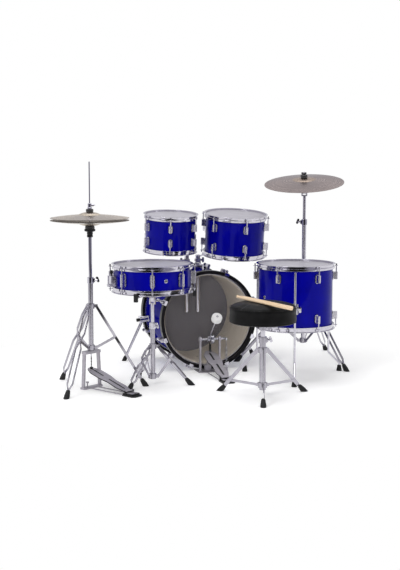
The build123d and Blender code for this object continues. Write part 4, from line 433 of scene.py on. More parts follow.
def ease(node, width=EDGE):
    """Round a CAD node's sharp edges by a width in millimetres, so that they catch the light."""
    thing = cad[node]
    normals = thing.data.attributes.get("custom_normal")
    if normals:
        thing.data.attributes.remove(normals)
    weld = thing.modifiers.new("weld", "WELD")
    weld.merge_threshold = 0.004 * MM
    bevel = thing.modifiers.new("bevel", "BEVEL")
    bevel.width = width * MM
    bevel.segments = 2
    bevel.limit_method = "ANGLE"
    bevel.angle_limit = math.radians(40)
    bevel.use_clamp_overlap = False
    shade = thing.modifiers.new("shade", "WEIGHTED_NORMAL")
    shade.keep_sharp = False


# How far the middle of a shell's facet may lie inside its wall, and how far a head's film reaches
# past the shell before its metal hoop begins
FACET_SLACK = 0.6 * MM
FILM_REACH = 1.4 * MM
# What tells a lug from the rods and the vent: it sits on the shell, stands out and has this length
LUG_SEAT = 2.5 * MM
LUG_STAND = 8 * MM
LUG_LENGTHS = (0.036, 0.07)


def axis_distance(point, drum):
    """Return a point's distance from a drum's axis."""
    centre, axis = DRUMS[drum].centre, DRUMS[drum].axis
    offset = Vector(point) - centre
    return (offset - axis * offset.dot(axis)).length


def shell_side(drum):
    """Return a picker: 0 for the outside of a shell, 1 for its inside, 2 for its edges."""
    radius, wall = DRUMS[drum].radius, DRUMS[drum].wall

    def pick(face):
        reach = axis_distance(face.center, drum)
        if reach > radius - FACET_SLACK:
            return 0
        return 1 if reach < radius - wall + FACET_SLACK else 2

    return pick


def film_side(drum):
    """Return a picker: 0 for a head's film, 1 for its metal flesh hoop."""
    return lambda face: axis_distance(face.center, drum) > DRUMS[drum].radius + FILM_REACH


def lug_shape(points, drum):
    """Return a lug's middle height, way out, length and width, or None for another piece."""
    centre, axis, radius, _ = DRUMS[drum]
    along = np.array(axis)
    offset = points - np.array(centre)
    height = offset @ along
    level = offset - np.outer(height, along)
    reach = np.linalg.norm(level, axis=1)
    length = np.ptp(height)
    on_shell = reach.min() <= radius + LUG_SEAT and reach.max() >= radius + LUG_STAND
    if not on_shell or not LUG_LENGTHS[0] < length < LUG_LENGTHS[1]:
        return None
    out = level.mean(0) / np.linalg.norm(level.mean(0))
    width = np.ptp(level @ np.cross(along, out))
    return (height.max() + height.min()) / 2, Vector(out), length, width


for drum in DRUMS:
    # The bass drum's inside takes the wood painted lighter for the dim light inside it
    outside, inside = (BASS_BLUE, INNER_WOOD) if drum == "bass" else (BLUE, INNER_WOOD_UPRIGHT)
    paint(f"{drum}_shell", [outside, inside, PLY_EDGE], shell_side(drum))
    hardware = f"{drum}_tension_hardware"
    # Lugs take the paler copy of the chrome, painted lighter to stand in for light
    paint_pieces(hardware, [CHROME, PAINTED_LIGHT_CHROME], lambda points: lug_shape(points, drum) is not None)
    ease(hardware, 0.5)
    if drum == "bass":
        paint("bass_hoops", [BLACK_WOOD])
        paint("bass_batter_head", [SMOKY_HEAD, STEEL], film_side(drum))
        paint("bass_resonant_head", [DARK_HEAD, STEEL], film_side(drum))
    else:
        paint(f"{drum}_hoops", [CHROME])
        ease(f"{drum}_hoops", 0.6)
        paint(f"{drum}_heads", [CLEAR_HEAD, STEEL], film_side(drum))

paint("hihat_bottom_cymbal", [HAT_BRONZE])
paint("hihat_top_cymbal", [HAT_BRONZE])
paint("crash_cymbal", [CRASH_BRONZE])

# Nodes of one material, with the width of their eased edges
for node, material, width in (
    ("tom_left_holder", CHROME, EDGE),
    ("tom_left_mount", CHROME, EDGE),
    ("tom_right_holder", CHROME, EDGE),
    ("tom_right_mount", CHROME, EDGE),
    ("floor_tom_legs", CHROME, EDGE),
    ("snare_stand_upper_tube", CHROME, EDGE),
    ("snare_strainer_lever", CHROME, EDGE),
    ("snare_wires", STEEL, 0.1),
    # The crash's upper tube takes the paler copy of the chrome, painted lighter to stand in for
    # light
    ("crash_upper_tube", PAINTED_LIGHT_CHROME, EDGE),
    ("pedal_axle_cam", STEEL, 0.3),
    ("throne_post", CHROME, EDGE),
    ("throne_seat_bracket", SATIN_CHROME, EDGE),
    ("rubber_feet", RUBBER, 0.8),
):
    paint(node, [material])
    ease(node, width)


# Heights and a reach, in metres, that tell a node's loose pieces apart
SPUR_TIP = 1 * MM
KNOB_REACH = 0.27
GRIP_TOP = 0.445
STRAINER_KNOB = 0.52
CRASH_NUT = CRASH.z + 0.08
CHAIN_TOP = 0.2


def lowest(points):
    """Return the height of a loose piece's lowest point."""
    return points[:, 2].min()


def highest(points):
    """Return the height of a loose piece's highest point."""
    return points[:, 2].max()


def beside_bass(points):
    """Return how far a loose piece stays to the side of the bass drum's axis."""
    return abs(points[:, 0] - BASS.x).min()


# Chromed nodes with some loose pieces of another material: that one, the edges and the picker
for node, other, width, pick in (
    ("bass_spur_left", RUBBER, 0.6, lambda points: lowest(points) < SPUR_TIP),
    ("bass_spur_right", RUBBER, 0.6, lambda points: lowest(points) < SPUR_TIP),
    ("bass_brackets", PLASTIC, 0.7, lambda points: beside_bass(points) > KNOB_REACH),
    ("snare_basket", RUBBER, 0.6, lambda points: highest(points) > GRIP_TOP),
    ("snare_strainer", PLASTIC, 0.3, lambda points: lowest(points) > STRAINER_KNOB),
    ("crash_tilter", DARK_METAL, EDGE, lambda points: lowest(points) > CRASH_NUT),
    ("hihat_pull_rod", DARK_METAL, 0.3, lambda points: highest(points) < CHAIN_TOP),
):
    paint_pieces(node, [CHROME, other], pick)
    ease(node, width)

# What tells a stand's pieces apart
SMALL_PIECE = 0.04
TUBE_LENGTH = 0.3
TUBE_WIDTH = 0.05


def stand_part(points):
    """Return 0 for a stand's leg or brace, 1 for a small piece, 2 for its base tube."""
    size = np.ptp(points, axis=0)
    if size.max() < SMALL_PIECE:
        return 1
    return 2 if size[2] > TUBE_LENGTH and size[:2].max() < TUBE_WIDTH else 0


# The crash stand's base tube takes the paler copy of the chrome, painted lighter to stand in for
# light
for node in ("crash_tripod", "hihat_tripod", "snare_stand_tripod", "throne_tripod"):
    tube_chrome = PAINTED_LIGHT_CHROME if node == "crash_tripod" else SATIN_CHROME
    paint_pieces(node, [SATIN_CHROME, CHROME, tube_chrome], stand_part)
    ease(node)

# What tells a pedal's heel plate and the tread on it
HEEL_WIDTH = 0.06
HEEL_TOPS = (0.015, 0.03)
HEEL_TREAD = (13.5 * MM, 15 * MM)
TREAD_FACING = 0.9


def is_heel_plate(points):
    """Tell the heel plate of a pedal: it is broad both ways and lies low."""
    size = np.ptp(points, axis=0)
    broad = size[0] > HEEL_WIDTH and size[1] > HEEL_WIDTH
    return broad and HEEL_TOPS[0] < highest(points) < HEEL_TOPS[1]


def paint_pedal_frame(node):
    """Paint a pedal's frame silver and its heel plate dark, with a silver tread on the plate."""
    face_piece, points = loose_pieces(node)
    heels = {number for number, group in enumerate(points) if is_heel_plate(group)}

    def pick(face):
        level = HEEL_TREAD[0] < face.center.z < HEEL_TREAD[1]
        on_tread = level and face.normal.z > TREAD_FACING
        return face_piece[face.index] in heels and not on_tread

    paint(node, [SILVER_PAINT, PLASTIC], pick)
    ease(node, 0.35)


# A footboard's tread slopes this much, its slots lie this deep, and its sides turn this far away
BOARD_SLOPES = (0.85, 0.999)
BOARD_SAME_PLANE = 0.9999
SLOT_DEPTHS = (1.6 * MM, 0.1 * MM)
BOARD_SIDE = 0.6


def board_plane(node):
    """Return the upward normal of a footboard's tread, and how far along it the tread lies."""
    low, high = BOARD_SLOPES
    tops = [face for face in cad[node].data.polygons if low < face.normal.z < high]
    normal = max(tops, key=lambda face: face.area).normal.copy()
    treads = [face for face in tops if face.normal.dot(normal) > BOARD_SAME_PLANE]
    return normal, max(Vector(face.center).dot(normal) for face in treads)


def paint_footboard(node):
    """Paint a footboard's tread silver, and its slots, sides and underside dark."""
    normal, top = board_plane(node)
    slot_low, slot_high = (top - depth for depth in SLOT_DEPTHS)

    def pick(face):
        in_slot = slot_low < Vector(face.center).dot(normal) < slot_high
        return in_slot or face.normal.dot(normal) < BOARD_SIDE

    paint(node, [SILVER_PAINT, PLASTIC], pick)
    ease(node, 0.6)


paint_pedal_frame("hihat_base_frame")
paint_pedal_frame("pedal_frame")
paint_footboard("hihat_footboard")
paint_footboard("pedal_footboard")


# New pieces
def place(origin, axis, side=None):
    """Return the matrix of a frame at a point, with Z along an axis and X near a side direction."""
    up = Vector(axis).normalized()
    if side is None:
        side = (1, 0, 0) if abs(up.x) < 0.9 else (0, 1, 0)
    side = Vector(side)
    across = (side - up * side.dot(up)).normalized()
    made = Matrix((across, up.cross(across), up)).transposed().to_4x4()
    made.translation = origin
    return made


def piece(name, mesh, matrix, material, body, crease=40.0):
    """Put a mesh into the scene as a piece that rides on a body, unless it is None."""
    made = bpy.data.objects.new(name, mesh)
    scene.collection.objects.link(made)
    made.matrix_world = matrix
    mesh.materials.append(material)
    for face in mesh.polygons:
        face.use_smooth = True
    mesh.set_sharp_from_angle(angle=math.radians(crease))
    if body:
        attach(made, body)
    return made


def to_mesh(work, name):
    """Turn a bmesh into a mesh."""
    mesh = bpy.data.meshes.new(name)
    work.to_mesh(mesh)
    work.free()
    return mesh


def skin(work, rows, closed):
    """Lay faces between rows of points, all round where they are closed, and over both ends."""
    count = len(rows[0])
    for first, second in zip(rows, rows[1:]):
        for index in range(count if closed else count - 1):
            after = (index + 1) % count
            work.faces.new((first[index], first[after], second[after], second[index]))
    work.faces.new(rows[0])
    work.faces.new(reversed(rows[-1]))


def rounded(outline, radius, count=4):
    """Round the corners between the ends of an outline of (radius, height) points."""
    most = 0.45
    made = [Vector(outline[0])]
    for before, corner, after in zip(outline, outline[1:], outline[2:]):
        corner = Vector(corner)
        back, ahead = Vector(before) - corner, Vector(after) - corner
        cut = min(radius, back.length * most, ahead.length * most)
        start, end = corner + back.normalized() * cut, corner + ahead.normalized() * cut
        for step in range(count + 1):
            share = step / count
            made.append(start.lerp(corner, share).lerp(corner.lerp(end, share), share))
    made.append(Vector(outline[-1]))
    return made


def turned(outline, corner=0.0, steps=48, fuzz=0.0, fuzz_scale=0.0, closed=False):
    """Turn an outline of (radius, height) points in millimetres about Z into a mesh in metres."""
    on_axis, same_place = 1e-6, 1e-7
    outline = [Vector(point) for point in outline]
    if closed:
        middle = (outline[0] + outline[-1]) / 2
        outline = [middle, *outline, middle]
    if corner:
        outline = rounded(outline, corner)
    work = bmesh.new()
    rings = []
    for radius, height in outline:
        count = steps if radius > on_axis else 1
        angles = [2 * math.pi * index / steps for index in range(count)]
        rings.append([
            work.verts.new((
                radius * math.cos(angle) * MM, radius * math.sin(angle) * MM, height * MM,
            ))
            for angle in angles
        ])
    for lower, upper in zip(rings, rings[1:]):
        for index in range(steps):
            corners = []
            for ring, shift in ((lower, 0), (lower, 1), (upper, 1), (upper, 0)):
                vert = ring[(index + shift) % len(ring)]
                if vert not in corners:
                    corners.append(vert)
            if len(corners) > 2:
                work.faces.new(corners)
    bmesh.ops.remove_doubles(work, verts=work.verts, dist=same_place)
    bmesh.ops.recalc_face_normals(work, faces=work.faces)
    if fuzz:
        work.normal_update()
        shifts = [
            vert.normal * (noise.noise(vert.co * fuzz_scale) * fuzz * MM) for vert in work.verts
        ]
        for vert, shift in zip(work.verts, shifts):
            vert.co += shift
    return to_mesh(work, "turned")


def felt_washer(name, matrix, body, outer, bore, low, high):
    """Make a felt washer, sized in millimetres, whose edge bulges and frays a little."""
    steps, bulge, lip, inset = 5, 0.8, 0.8, 1
    under = [(bore + (outer - inset - bore) * step / steps, low) for step in range(steps + 1)]
    side = [
        (
            outer + bulge * math.sin(math.pi * step / steps),
            low + lip + (high - low - 2 * lip) * step / steps,
        )
        for step in range(steps + 1)
    ]
    over = [(radius, high) for radius, _ in reversed(under)]
    mesh = turned([*under, *side, *over], steps=72, fuzz=0.35, fuzz_scale=900.0, closed=True)
    return piece(name, mesh, matrix, BLACK_FELT, body, crease=80.0)


def extruded(outline, thick, rim=0.6):
    """Extrude an outline of (x, y) points in millimetres both ways from the XY plane, rim eased."""
    work = bmesh.new()
    front = [work.verts.new((x * MM, y * MM, thick / 2 * MM)) for x, y in outline]
    made = bmesh.ops.extrude_face_region(work, geom=[work.faces.new(front)])
    moved = [item for item in made["geom"] if isinstance(item, bmesh.types.BMVert)]
    bmesh.ops.translate(work, verts=moved, vec=(0, 0, -thick * MM))
    bmesh.ops.recalc_face_normals(work, faces=work.faces)
    sharp_angle = 1.0
    sharp = [edge for edge in work.edges if edge.calc_face_angle(0) > sharp_angle]
    bmesh.ops.bevel(work, geom=sharp, offset=rim * MM, segments=3, profile=0.5, affect="EDGES")
    return to_mesh(work, "extruded")


def wing_outline(reach, height):
    """Return the outline of a wing screw's two ears, which rise out from the hub."""
    steps, start, sweep, root = 12, -70, 220, 2.5
    radius = height * 0.5
    right = [(root, 1.0)]
    for step in range(steps + 1):
        angle = math.radians(start + sweep * step / steps)
        right.append((
            reach - radius + radius * math.cos(angle), height * 0.55 + radius * math.sin(angle),
        ))
    right.append((root, height * 0.62))
    return [*right, *[(-x, y) for x, y in reversed(right)]]


def wing_screw(name, matrix, body):
    """Make a wing screw that stands on the matrix's XY plane with its wings along X."""
    hub = turned([(0, 0), (5, 0), (5, 8), (4, 11.5), (0, 12)], corner=0.8, steps=32)
    wings = extruded(wing_outline(reach=14.0, height=12.0), thick=3.4)
    wings.transform(Matrix.Translation((0, 0, 4 * MM)) @ Matrix.Rotation(math.pi / 2, 4, "X"))
    work = bmesh.new()
    work.from_mesh(hub)
    work.from_mesh(wings)
    return piece(name, to_mesh(work, "wing_screw"), matrix, CHROME, body)


def shadow_gaskets(drum, body):
    """Lay a thin black rubber plate under each lug of a drum, reaching a little past its edge: a
    gasket, and a painted shadow of the lug on the shell.
    """
    centre, axis, radius, _ = DRUMS[drum]
    margin, low, high, columns = 1.6 * MM, 0.05 * MM, 1.0 * MM, 12
    work = bmesh.new()
    for points in loose_pieces(f"{drum}_tension_hardware")[1]:
        shape = lug_shape(points, drum)
        if shape is None:
            continue
        middle, out, length, width = shape
        side = axis.cross(out)
        half = width / 2 + margin
        rows = []
        for column in range(columns + 1):
            across = -half * math.cos(math.pi * column / columns)
            bow = math.sqrt(max(half * half - across * across, 0.0))
            reach = length / 2 + margin - half + bow
            turn = across / radius
            outward = out * math.cos(turn) + side * math.sin(turn)
            rows.append([
                work.verts.new(centre + axis * (middle + sign * reach) + outward * (radius + lift))
                for sign, lift in ((-1, low), (-1, high), (1, high), (1, low))
            ])
        skin(work, rows, closed=False)
    bmesh.ops.recalc_face_normals(work, faces=work.faces)
    piece(f"{drum}_gaskets", to_mesh(work, "shadow_gaskets"), Matrix(), RUBBER, body)


# Each lug gets a thin black plate round its foot: a gasket, and a painted shadow
for drum in DRUMS:
    shadow_gaskets(drum, "kit" if drum == "bass" else drum)

# Bass drum: the bend round the edge of its batter head, opaque pale grey: the bent film, with a
# painted reflection on it
collar_outline = [(223.4, 178.4), (224.6, 179.6), (226.2, 180.2), (227.8, 179.6), (228.4, 178.4)]
piece(
    "bass_batter_collar", turned(collar_outline, corner=0.8, steps=180, closed=True),
    place(BASS, (0, -1, 0)), COLLAR, "kit",
)

# Hi-hat: sliding tube, seat cup, felts and clutch
hihat_place = Matrix.Translation(HIHAT)
clutch_place = hihat_place @ Matrix.Rotation(math.radians(-17), 4, "Z")
tube_outline = [(4, 308), (8, 308), (8, 700), (4, 700)]
tube = piece(
    "hihat_tube", turned(tube_outline, corner=0.6, steps=40, closed=True),
    hihat_place, CHROME, "hihat_post",
)
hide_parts("hihat_upper_tube")
cup_outline = [
    (4, 700), (13.5, 700), (13.5, 709), (12.6, 710), (12.6, 713), (13.5, 714), (13.5, 724),
    (25, 728), (25, 736.8), (22.5, 737), (4, 736.9),
]
piece(
    "hihat_seat_cup", turned(cup_outline, corner=0.8, steps=60, closed=True),
    hihat_place, PLASTIC, "hihat_post",
)
felt_washer(
    "hihat_seat_felt", hihat_place, "hihat_post", outer=21.2, bore=4.0, low=737.0, high=749.6,
)
clutch_outline = [
    (3.2, 797), (8.5, 797), (8.5, 805), (5.4, 805), (5.4, 828.7), (10.5, 828.7), (10.5, 834.7),
    (8.5, 836), (8.5, 853), (7.4, 854.7), (3.2, 854.7),
]
clutch = piece(
    "hihat_clutch_body", turned(clutch_outline, corner=0.7, closed=True),
    clutch_place, CHROME, "hihat_top",
)
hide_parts("hihat_clutch")
felt_washer(
    "hihat_clutch_felt_low", clutch_place, "hihat_top", outer=13.6, bore=5.6, low=805.4, high=812.6,
)
felt_washer(
    "hihat_clutch_felt_top", clutch_place, "hihat_top", outer=16.4, bore=5.6, low=814.8, high=828.5,
)
screw_place = clutch_place @ place((8.4 * MM, 0, 845.7 * MM), (1, 0, 0), (0, 1, 0))
wing_screw("hihat_clutch_screw", screw_place, "hihat_top")

# Crash: its two felts
crash_place = place(CRASH, CRASH_AXIS)
low_felt = felt_washer(
    "crash_felt_low", crash_place, "crash_head", outer=17.1, bore=4.2, low=60.7, high=74.0,
)
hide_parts("crash_felts")
felt_washer("crash_felt_top", crash_place, "crash_head", outer=17.1, bore=4.2, low=76.5, high=91.8)

# Bass pedal: beater, strap and spring, in millimetres of the pedal's own frame
AXLE_Z = 163.0
BEATER_Y, BEATER_LEAN, BEATER_REACH = -5.5, math.radians(46.0), 176.0
BEATER_HALF, BEATER_RADIUS, BEATER_ROUND = 16.0, 25.5, 8.0
CAM_Y, CAM_RADIUS, STRAP_LIFT = 9.0, 24.1, 0.2
STRAP_WIDTH, STRAP_THICK, STRAP_LOW = 11.0, 2.2, 104.0
SPRING_X, SPRING_Y, WIRE_RADIUS = 16.0, 79.0, 1.0
COIL_RADIUS, COIL_TURNS, COIL_LOW, COIL_PITCH, COIL_POINTS = 6.0, 14, 57.3, 4.6, 12


def pedal_point(x, y, z):
    return PEDAL + Vector((y, -x, z)) * MM


def beater_outline():
    """Return the beater's outline: flat ends, round shoulders and a straight side."""
    steps = 8
    half = [(radius, -BEATER_HALF) for radius in (3.1, 7, 11, 15)]
    for step in range(steps + 1):
        turn = math.pi / 2 * step / steps
        half.append((
            BEATER_RADIUS - BEATER_ROUND + BEATER_ROUND * math.sin(turn),
            -BEATER_HALF + BEATER_ROUND - BEATER_ROUND * math.cos(turn),
        ))
    half += [(BEATER_RADIUS, -4), (BEATER_RADIUS, 0)]
    return [*half, *[(radius, -height) for radius, height in reversed(half[:-1])]]


aim = Vector((0, -math.sin(BEATER_LEAN), math.cos(BEATER_LEAN)))
hub = pedal_point(0, BEATER_Y, AXLE_Z)
beater = piece(
    "beater_felt", turned(beater_outline(), steps=96, fuzz=0.7, fuzz_scale=420.0, closed=True),
    place(hub + aim * BEATER_REACH * MM, aim), WHITE_FELT, "pedal_striker",
    crease=80.0,
)
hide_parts("pedal_beater")
shaft_outline = [(0, 2), (3, 2), (3, 193), (0, 193)]
piece(
    "beater_shaft", turned(shaft_outline, corner=0.8, steps=28),
    place(hub, aim), CHROME, "pedal_striker",
)
nut_outline = [(3.05, 191.6), (5.4, 191.8), (5.4, 193.4), (4.6, 194), (3.05, 194)]
piece(
    "beater_nut", turned(nut_outline, corner=0.4, steps=6, closed=True),
    place(hub, aim), DARK_METAL, "pedal_striker", crease=30.0,
)


def ribbon(path):
    """Make a stretch of the strap, its width along X, over a path of (point, outward) pairs."""
    work = bmesh.new()
    corners = ((-1, 0), (-0.9, STRAP_THICK), (0.9, STRAP_THICK), (1, 0))
    rows = [
        [
            work.verts.new(point + Vector((side * STRAP_WIDTH / 2, 0, 0)) * MM + out * lift * MM)
            for side, lift in corners
        ]
        for point, out in path
    ]
    skin(work, rows, closed=True)
    bmesh.ops.recalc_face_normals(work, faces=work.faces)
    return to_mesh(work, "ribbon")


def strap_run():
    """Return the path of the strap from the footboard up to the cam."""
    steps, outward = 20, Vector((0, 1, 0))
    x, rise = -CAM_RADIUS - STRAP_LIFT, AXLE_Z - STRAP_LOW
    return [
        (pedal_point(x, CAM_Y, STRAP_LOW + rise * step / steps), outward)
        for step in range(steps + 1)
    ]


def strap_wrap():
    """Return the path of the strap over the cam."""
    steps, start, sweep = 24, 180, 130
    path = []
    for step in range(steps + 1):
        turn = math.radians(start - sweep * step / steps)
        out = Vector((0, -math.cos(turn), math.sin(turn)))
        path.append((pedal_point(0, CAM_Y, AXLE_Z) + out * (CAM_RADIUS + STRAP_LIFT) * MM, out))
    return path


strap = piece("pedal_strap_run", ribbon(strap_run()), Matrix(), STRAP, None)
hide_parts("pedal_strap")
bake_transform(strap)
piece(
    "pedal_strap_wrap", ribbon(strap_wrap()), Matrix(), STRAP, "pedal_striker",
)


def wire(name, points, radius):
    """Make a mesh of a round wire, its radius in millimetres, through control points."""
    line = bpy.data.curves.new(name, "CURVE")
    line.dimensions = "3D"
    spline = line.splines.new("NURBS")
    spline.points.add(len(points) - 1)
    for point, spot in zip(spline.points, points):
        point.co = (*spot, 1)
    spline.order_u = 4
    spline.use_endpoint_u = True
    spline.resolution_u = 3
    line.bevel_depth = radius * MM
    line.bevel_resolution = 3
    line.use_fill_caps = True
    carrier = bpy.data.objects.new(name, line)
    scene.collection.objects.link(carrier)
    mesh = bpy.data.meshes.new_from_object(carrier)
    bpy.data.objects.remove(carrier)
    return mesh


def spring_points():
    """Return the spring's wire: a straight end, the bend into the coil, the coil, and back."""
    low = [(0, 0, 22.4), (0, 0, 32.0), (0, 0, 40.0), (1.5, -1.5, 46.0), (4.6, -2.6, 52.0)]
    high = [(4.6, 2.6, 127.0), (1.5, 1.5, 133.0), (0, 0, 139.0), (0, 0, 147.0), (0, 0, 156.6)]
    coil = []
    for step in range(COIL_TURNS * COIL_POINTS + 1):
        turn = 2 * math.pi * step / COIL_POINTS
        coil.append((
            COIL_RADIUS * math.cos(turn), COIL_RADIUS * math.sin(turn),
            COIL_LOW + COIL_PITCH * step / COIL_POINTS,
        ))
    return [pedal_point(SPRING_X + x, SPRING_Y + y, z) for x, y, z in (*low, *coil, *high)]


spring_mesh = wire("pedal_spring_coil", spring_points(), WIRE_RADIUS)
spring = piece("pedal_spring_coil", spring_mesh, Matrix(), STEEL, None)
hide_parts("pedal_spring")
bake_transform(spring)

# Throne: the padded seat, its welts and the sticks on it
SEAT_LOW, SEAT_HIGH, SEAT_VOXEL = 0.333, 0.428 - 0.2 * MM, 5 * MM
SEAT_FRAMES, SEAT_SWELL, SEAT_HELD = 20, 5 * MM, 4 * MM
SEAT_OUTLINE = [
    (0, 333), (136, 333), (146.5, 337), (150.5, 347), (148, 372), (147.5, 384), (150, 397),
    (146, 408), (134, 415.5), (100, 419), (60, 421), (0, 422),
]
CLOTH = {
    "quality": 5,
    "mass": 0.3,
    "tension_stiffness": 25,
    "compression_stiffness": 25,
    "bending_stiffness": 4,
    "use_pressure": True,
    "uniform_pressure_force": 4,
}


def swell(thing, frames, cap, held):
    """Blow a closed mesh up a little as cloth, holding the points that held picks, and keep it."""
    start = [vert.co.copy() for vert in thing.data.vertices]
    group = thing.vertex_groups.new(name="held")
    for vert in thing.data.vertices:
        if held(vert.co):
            group.add([vert.index], 1.0, "REPLACE")
    cloth = thing.modifiers.new("cloth", "CLOTH")
    for key, value in CLOTH.items():
        setattr(cloth.settings, key, value)
    cloth.settings.vertex_group_mass = "held"
    cloth.settings.effector_weights.gravity = 0
    cloth.point_cache.frame_start = 1
    cloth.point_cache.frame_end = frames
    for number in range(1, frames + 1):
        scene.frame_set(number)
    shape = thing.evaluated_get(bpy.context.evaluated_depsgraph_get()).data
    ends = [vert.co.copy() for vert in shape.vertices]
    thing.modifiers.remove(cloth)
    thing.vertex_groups.clear()
    for vert, before, after in zip(thing.data.vertices, start, ends):
        move = after - before
        vert.co = before + move * min(1.0, cap / max(move.length, 1e-9))
    scene.frame_set(1)


def remeshed(mesh, voxel):
    """Return a mesh rebuilt in even faces of a voxel's size."""
    carrier = bpy.data.objects.new("seat_shape", mesh)
    scene.collection.objects.link(carrier)
    remesh = carrier.modifiers.new("remesh", "REMESH")
    remesh.mode = "VOXEL"
    remesh.voxel_size = voxel
    shape = carrier.evaluated_get(bpy.context.evaluated_depsgraph_get())
    made = bpy.data.meshes.new_from_object(shape)
    bpy.data.objects.remove(carrier)
    return made


throne_place = Matrix.Translation(THRONE)
seat_mesh = remeshed(turned(SEAT_OUTLINE, corner=9.0, steps=120), SEAT_VOXEL)
seat = piece("throne_seat_pad", seat_mesh, throne_place, VINYL, None, crease=75.0)
swell(seat, SEAT_FRAMES, SEAT_SWELL, lambda spot: spot.z < SEAT_LOW + SEAT_HELD)
for vert in seat.data.vertices:
    vert.co.z = min(max(vert.co.z, SEAT_LOW), SEAT_HIGH)
smooth = seat.modifiers.new("smooth", "SUBSURF")
smooth.levels = 1
smooth.render_levels = 1
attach(seat, "throne_top")
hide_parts("throne_seat")


def welt(name, radius, height, thick):
    """Make a round welt about the throne's axis, in millimetres."""
    steps = 10
    turns = [2 * math.pi * step / steps for step in range(steps + 1)]
    outline = [(radius + thick * math.cos(turn), height + thick * math.sin(turn)) for turn in turns]
    mesh = turned(outline, steps=144)
    return piece(name, mesh, throne_place, VINYL, "throne_top", crease=80.0)


welt("seat_welt_top", radius=150.8, height=403.5, thick=1.5)
welt("seat_welt_low", radius=148.5, height=340.5, thick=1.4)

STICK_OUTLINE = [
    (0, 0), (4.5, 0.2), (6.2, 1.4), (7, 4), (7, 90), (7, 200), (7, 322), (6.6, 345), (5.6, 370),
    (4.3, 388), (3.7, 394), (3.6, 396), (4.2, 397.6), (4.8, 399.4), (4.9, 401), (4.4, 403.6),
    (3.0, 405.4), (0, 406),
]
STICK_END = 0.05


def stick_place(points):
    """Return the matrix of a stick from its solid's points, with Z from its butt to its tip."""
    middle = points.mean(0)
    line = np.linalg.svd(points - middle, full_matrices=False)[2][0]
    along = (points - middle) @ line
    away = np.linalg.norm(points - middle - np.outer(along, line), axis=1)
    at_high = away[along > along.max() - STICK_END].max()
    at_low = away[along < along.min() + STICK_END].max()
    if at_high > at_low:
        line, along = -line, -along
    return place(middle + line * along.min(), line)


for number, points in enumerate(loose_pieces("drumsticks")[1]):
    stick = piece(
        f"drumstick_{number + 1}", turned(STICK_OUTLINE, corner=2.0, steps=40),
        stick_place(points), MAPLE, "throne_top", crease=60.0,
    )
    if number == 0:
        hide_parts("drumsticks")

# Stage: floor, light and camera
WHITE = (1.0, 1.0, 1.0)
CAMERA_TURN = math.radians(-17.0)
CAMERA_DOWN = 6.97
CAMERA_AT = (-1.7326, -5.3285, 1.1411)
CAMERA_SENSOR, CAMERA_LENS = 36.0, 75.04
FLOOR_SIDE, FLOOR_FRONT, FLOOR_BACK, FLOOR_DROP = 7, -2.7, 9, 0.5 * MM
FLOOR_GLOW = 0.2
FADE_START, FADE_END = 0.9, 1.5
AMBIENT = (0.45, 0.45, 0.45)
WALL_BACK = (0.66, 0.66, 0.70)
WALL_SIDE = (0.31, 0.30, 0.36)
WALL_BY_CAMERA = (0.012, 0.012, 0.014)
CEILING = (0.7, 0.7, 0.73)


def ray_is(tree, *kinds):
    """Return 1 for a ray of any of the kinds, and 0 for the others."""
    paths = add(tree, "LightPath").outputs
    seen = paths[kinds[0]]
    for kind in kinds[1:]:
        seen = combine(tree, "MAXIMUM", seen, paths[kind])
    return seen


def build_floor():
    mesh = bpy.data.meshes.new("floor")
    left, right, front, back = -FLOOR_SIDE, FLOOR_SIDE, FLOOR_FRONT, FLOOR_BACK
    corners = [(left, front, 0), (right, front, 0), (right, back, 0), (left, back, 0)]
    mesh.from_pydata(corners, [], [(0, 1, 2, 3)])
    floor = bpy.data.objects.new("floor", mesh)
    floor.location.z = -FLOOR_DROP
    floor.rotation_euler.z = CAMERA_TURN
    scene.collection.objects.link(floor)
    sockets = {"Roughness": 0.9, "Specular IOR Level": 0.0, "Emission Color": (*WHITE, 1)}
    ground, tree, shader, where = finish("floor", (0.93, 0.93, 0.93), sockets)
    seen = ray_is(tree, "Is Camera Ray", "Is Glossy Ray", "Is Transmission Ray")
    feed(shader, "Emission Strength", combine(tree, "MULTIPLY", seen, FLOOR_GLOW))
    away = span(tree, vector(tree, "LENGTH", where), 0.0, 1.0, start=FADE_START, end=FADE_END)
    fade = combine(tree, "MULTIPLY", away, seen)
    glow = add(tree, "Emission", {"Color": (*WHITE, 1), "Strength": 1.0}).outputs[0]
    sheet = add(tree, "MixShader", {0: fade, 1: shader.outputs[0], 2: glow}).outputs[0]
    tree.links.new(sheet, tree.nodes["Material Output"].inputs["Surface"])
    mesh.materials.append(ground)


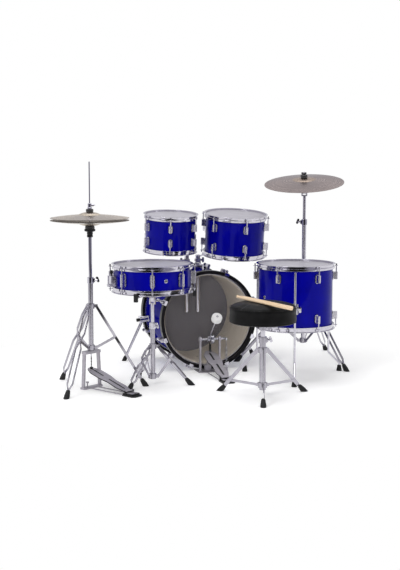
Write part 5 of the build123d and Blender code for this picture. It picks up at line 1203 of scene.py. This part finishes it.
def build_world():
    toward_camera = Vector((math.sin(CAMERA_TURN), -math.cos(CAMERA_TURN), 0))
    world = bpy.data.worlds.new("studio")
    scene.world = world
    world.use_nodes = True
    tree = world.node_tree
    direction = add(tree, "TexCoord").outputs["Generated"]
    level = vector(tree, "NORMALIZE", vector(tree, "MULTIPLY", direction, (1, 1, 0)))
    facing = vector(tree, "DOT_PRODUCT", level, toward_camera)
    height = add(tree, "SeparateXYZ", {0: direction}).outputs["Z"]
    beside = span(tree, facing, 0.0, 1.0, start=-0.5, end=0.3)
    by_camera = span(tree, facing, 0.0, 1.0, start=0.78, end=0.94)
    overhead = span(tree, height, 0.0, 1.0, start=0.4, end=0.8)
    room = between(tree, beside, WALL_BACK, WALL_SIDE)
    room = between(tree, by_camera, room, WALL_BY_CAMERA)
    room = between(tree, overhead, room, CEILING)
    mirrored = ray_is(tree, "Is Glossy Ray", "Is Transmission Ray")
    surround = between(tree, mirrored, AMBIENT, room)
    surround = between(tree, ray_is(tree, "Is Camera Ray"), surround, WHITE)
    backdrop = tree.nodes["Background"]
    feed(backdrop, "Color", surround)
    backdrop.inputs["Strength"].default_value = 1.0


def lamp(name, spot, aim_at, size, power):
    """Add a soft box that points at a spot."""
    light = bpy.data.lights.new(name, "AREA")
    light.shape = "RECTANGLE"
    light.size, light.size_y = size
    light.energy = power
    made = bpy.data.objects.new(name, light)
    scene.collection.objects.link(made)
    made.location = spot
    made.rotation_euler = (Vector(aim_at) - Vector(spot)).to_track_quat("-Z", "Y").to_euler()
    return made


def build_camera():
    """Put the camera where the photograph was taken from."""
    camera = bpy.data.cameras.new("camera")
    camera.sensor_width = CAMERA_SENSOR
    camera.lens = CAMERA_LENS
    made = bpy.data.objects.new("camera", camera)
    scene.collection.objects.link(made)
    made.location = CAMERA_AT
    made.rotation_euler = (math.radians(90 - CAMERA_DOWN), 0, CAMERA_TURN)
    scene.camera = made


build_floor()
build_world()
lamp("key", (-3.2, -2.4, 3.2), (0, 0, 0.4), size=(1.4, 2.0), power=75)
lamp("fill", (3.4, -2.0, 2.4), (0.2, 0, 0.4), size=(1.0, 1.8), power=20)
lamp("top", (0.0, 0.4, 4.2), (0, 0.1, 0), size=(3.4, 3.0), power=75)
front_lamp = lamp("front", (-2.0, -6.2, 1.5), (0, 0.2, 0.4), size=(1.6, 1.6), power=150)
front_lamp.visible_glossy = False
build_camera()
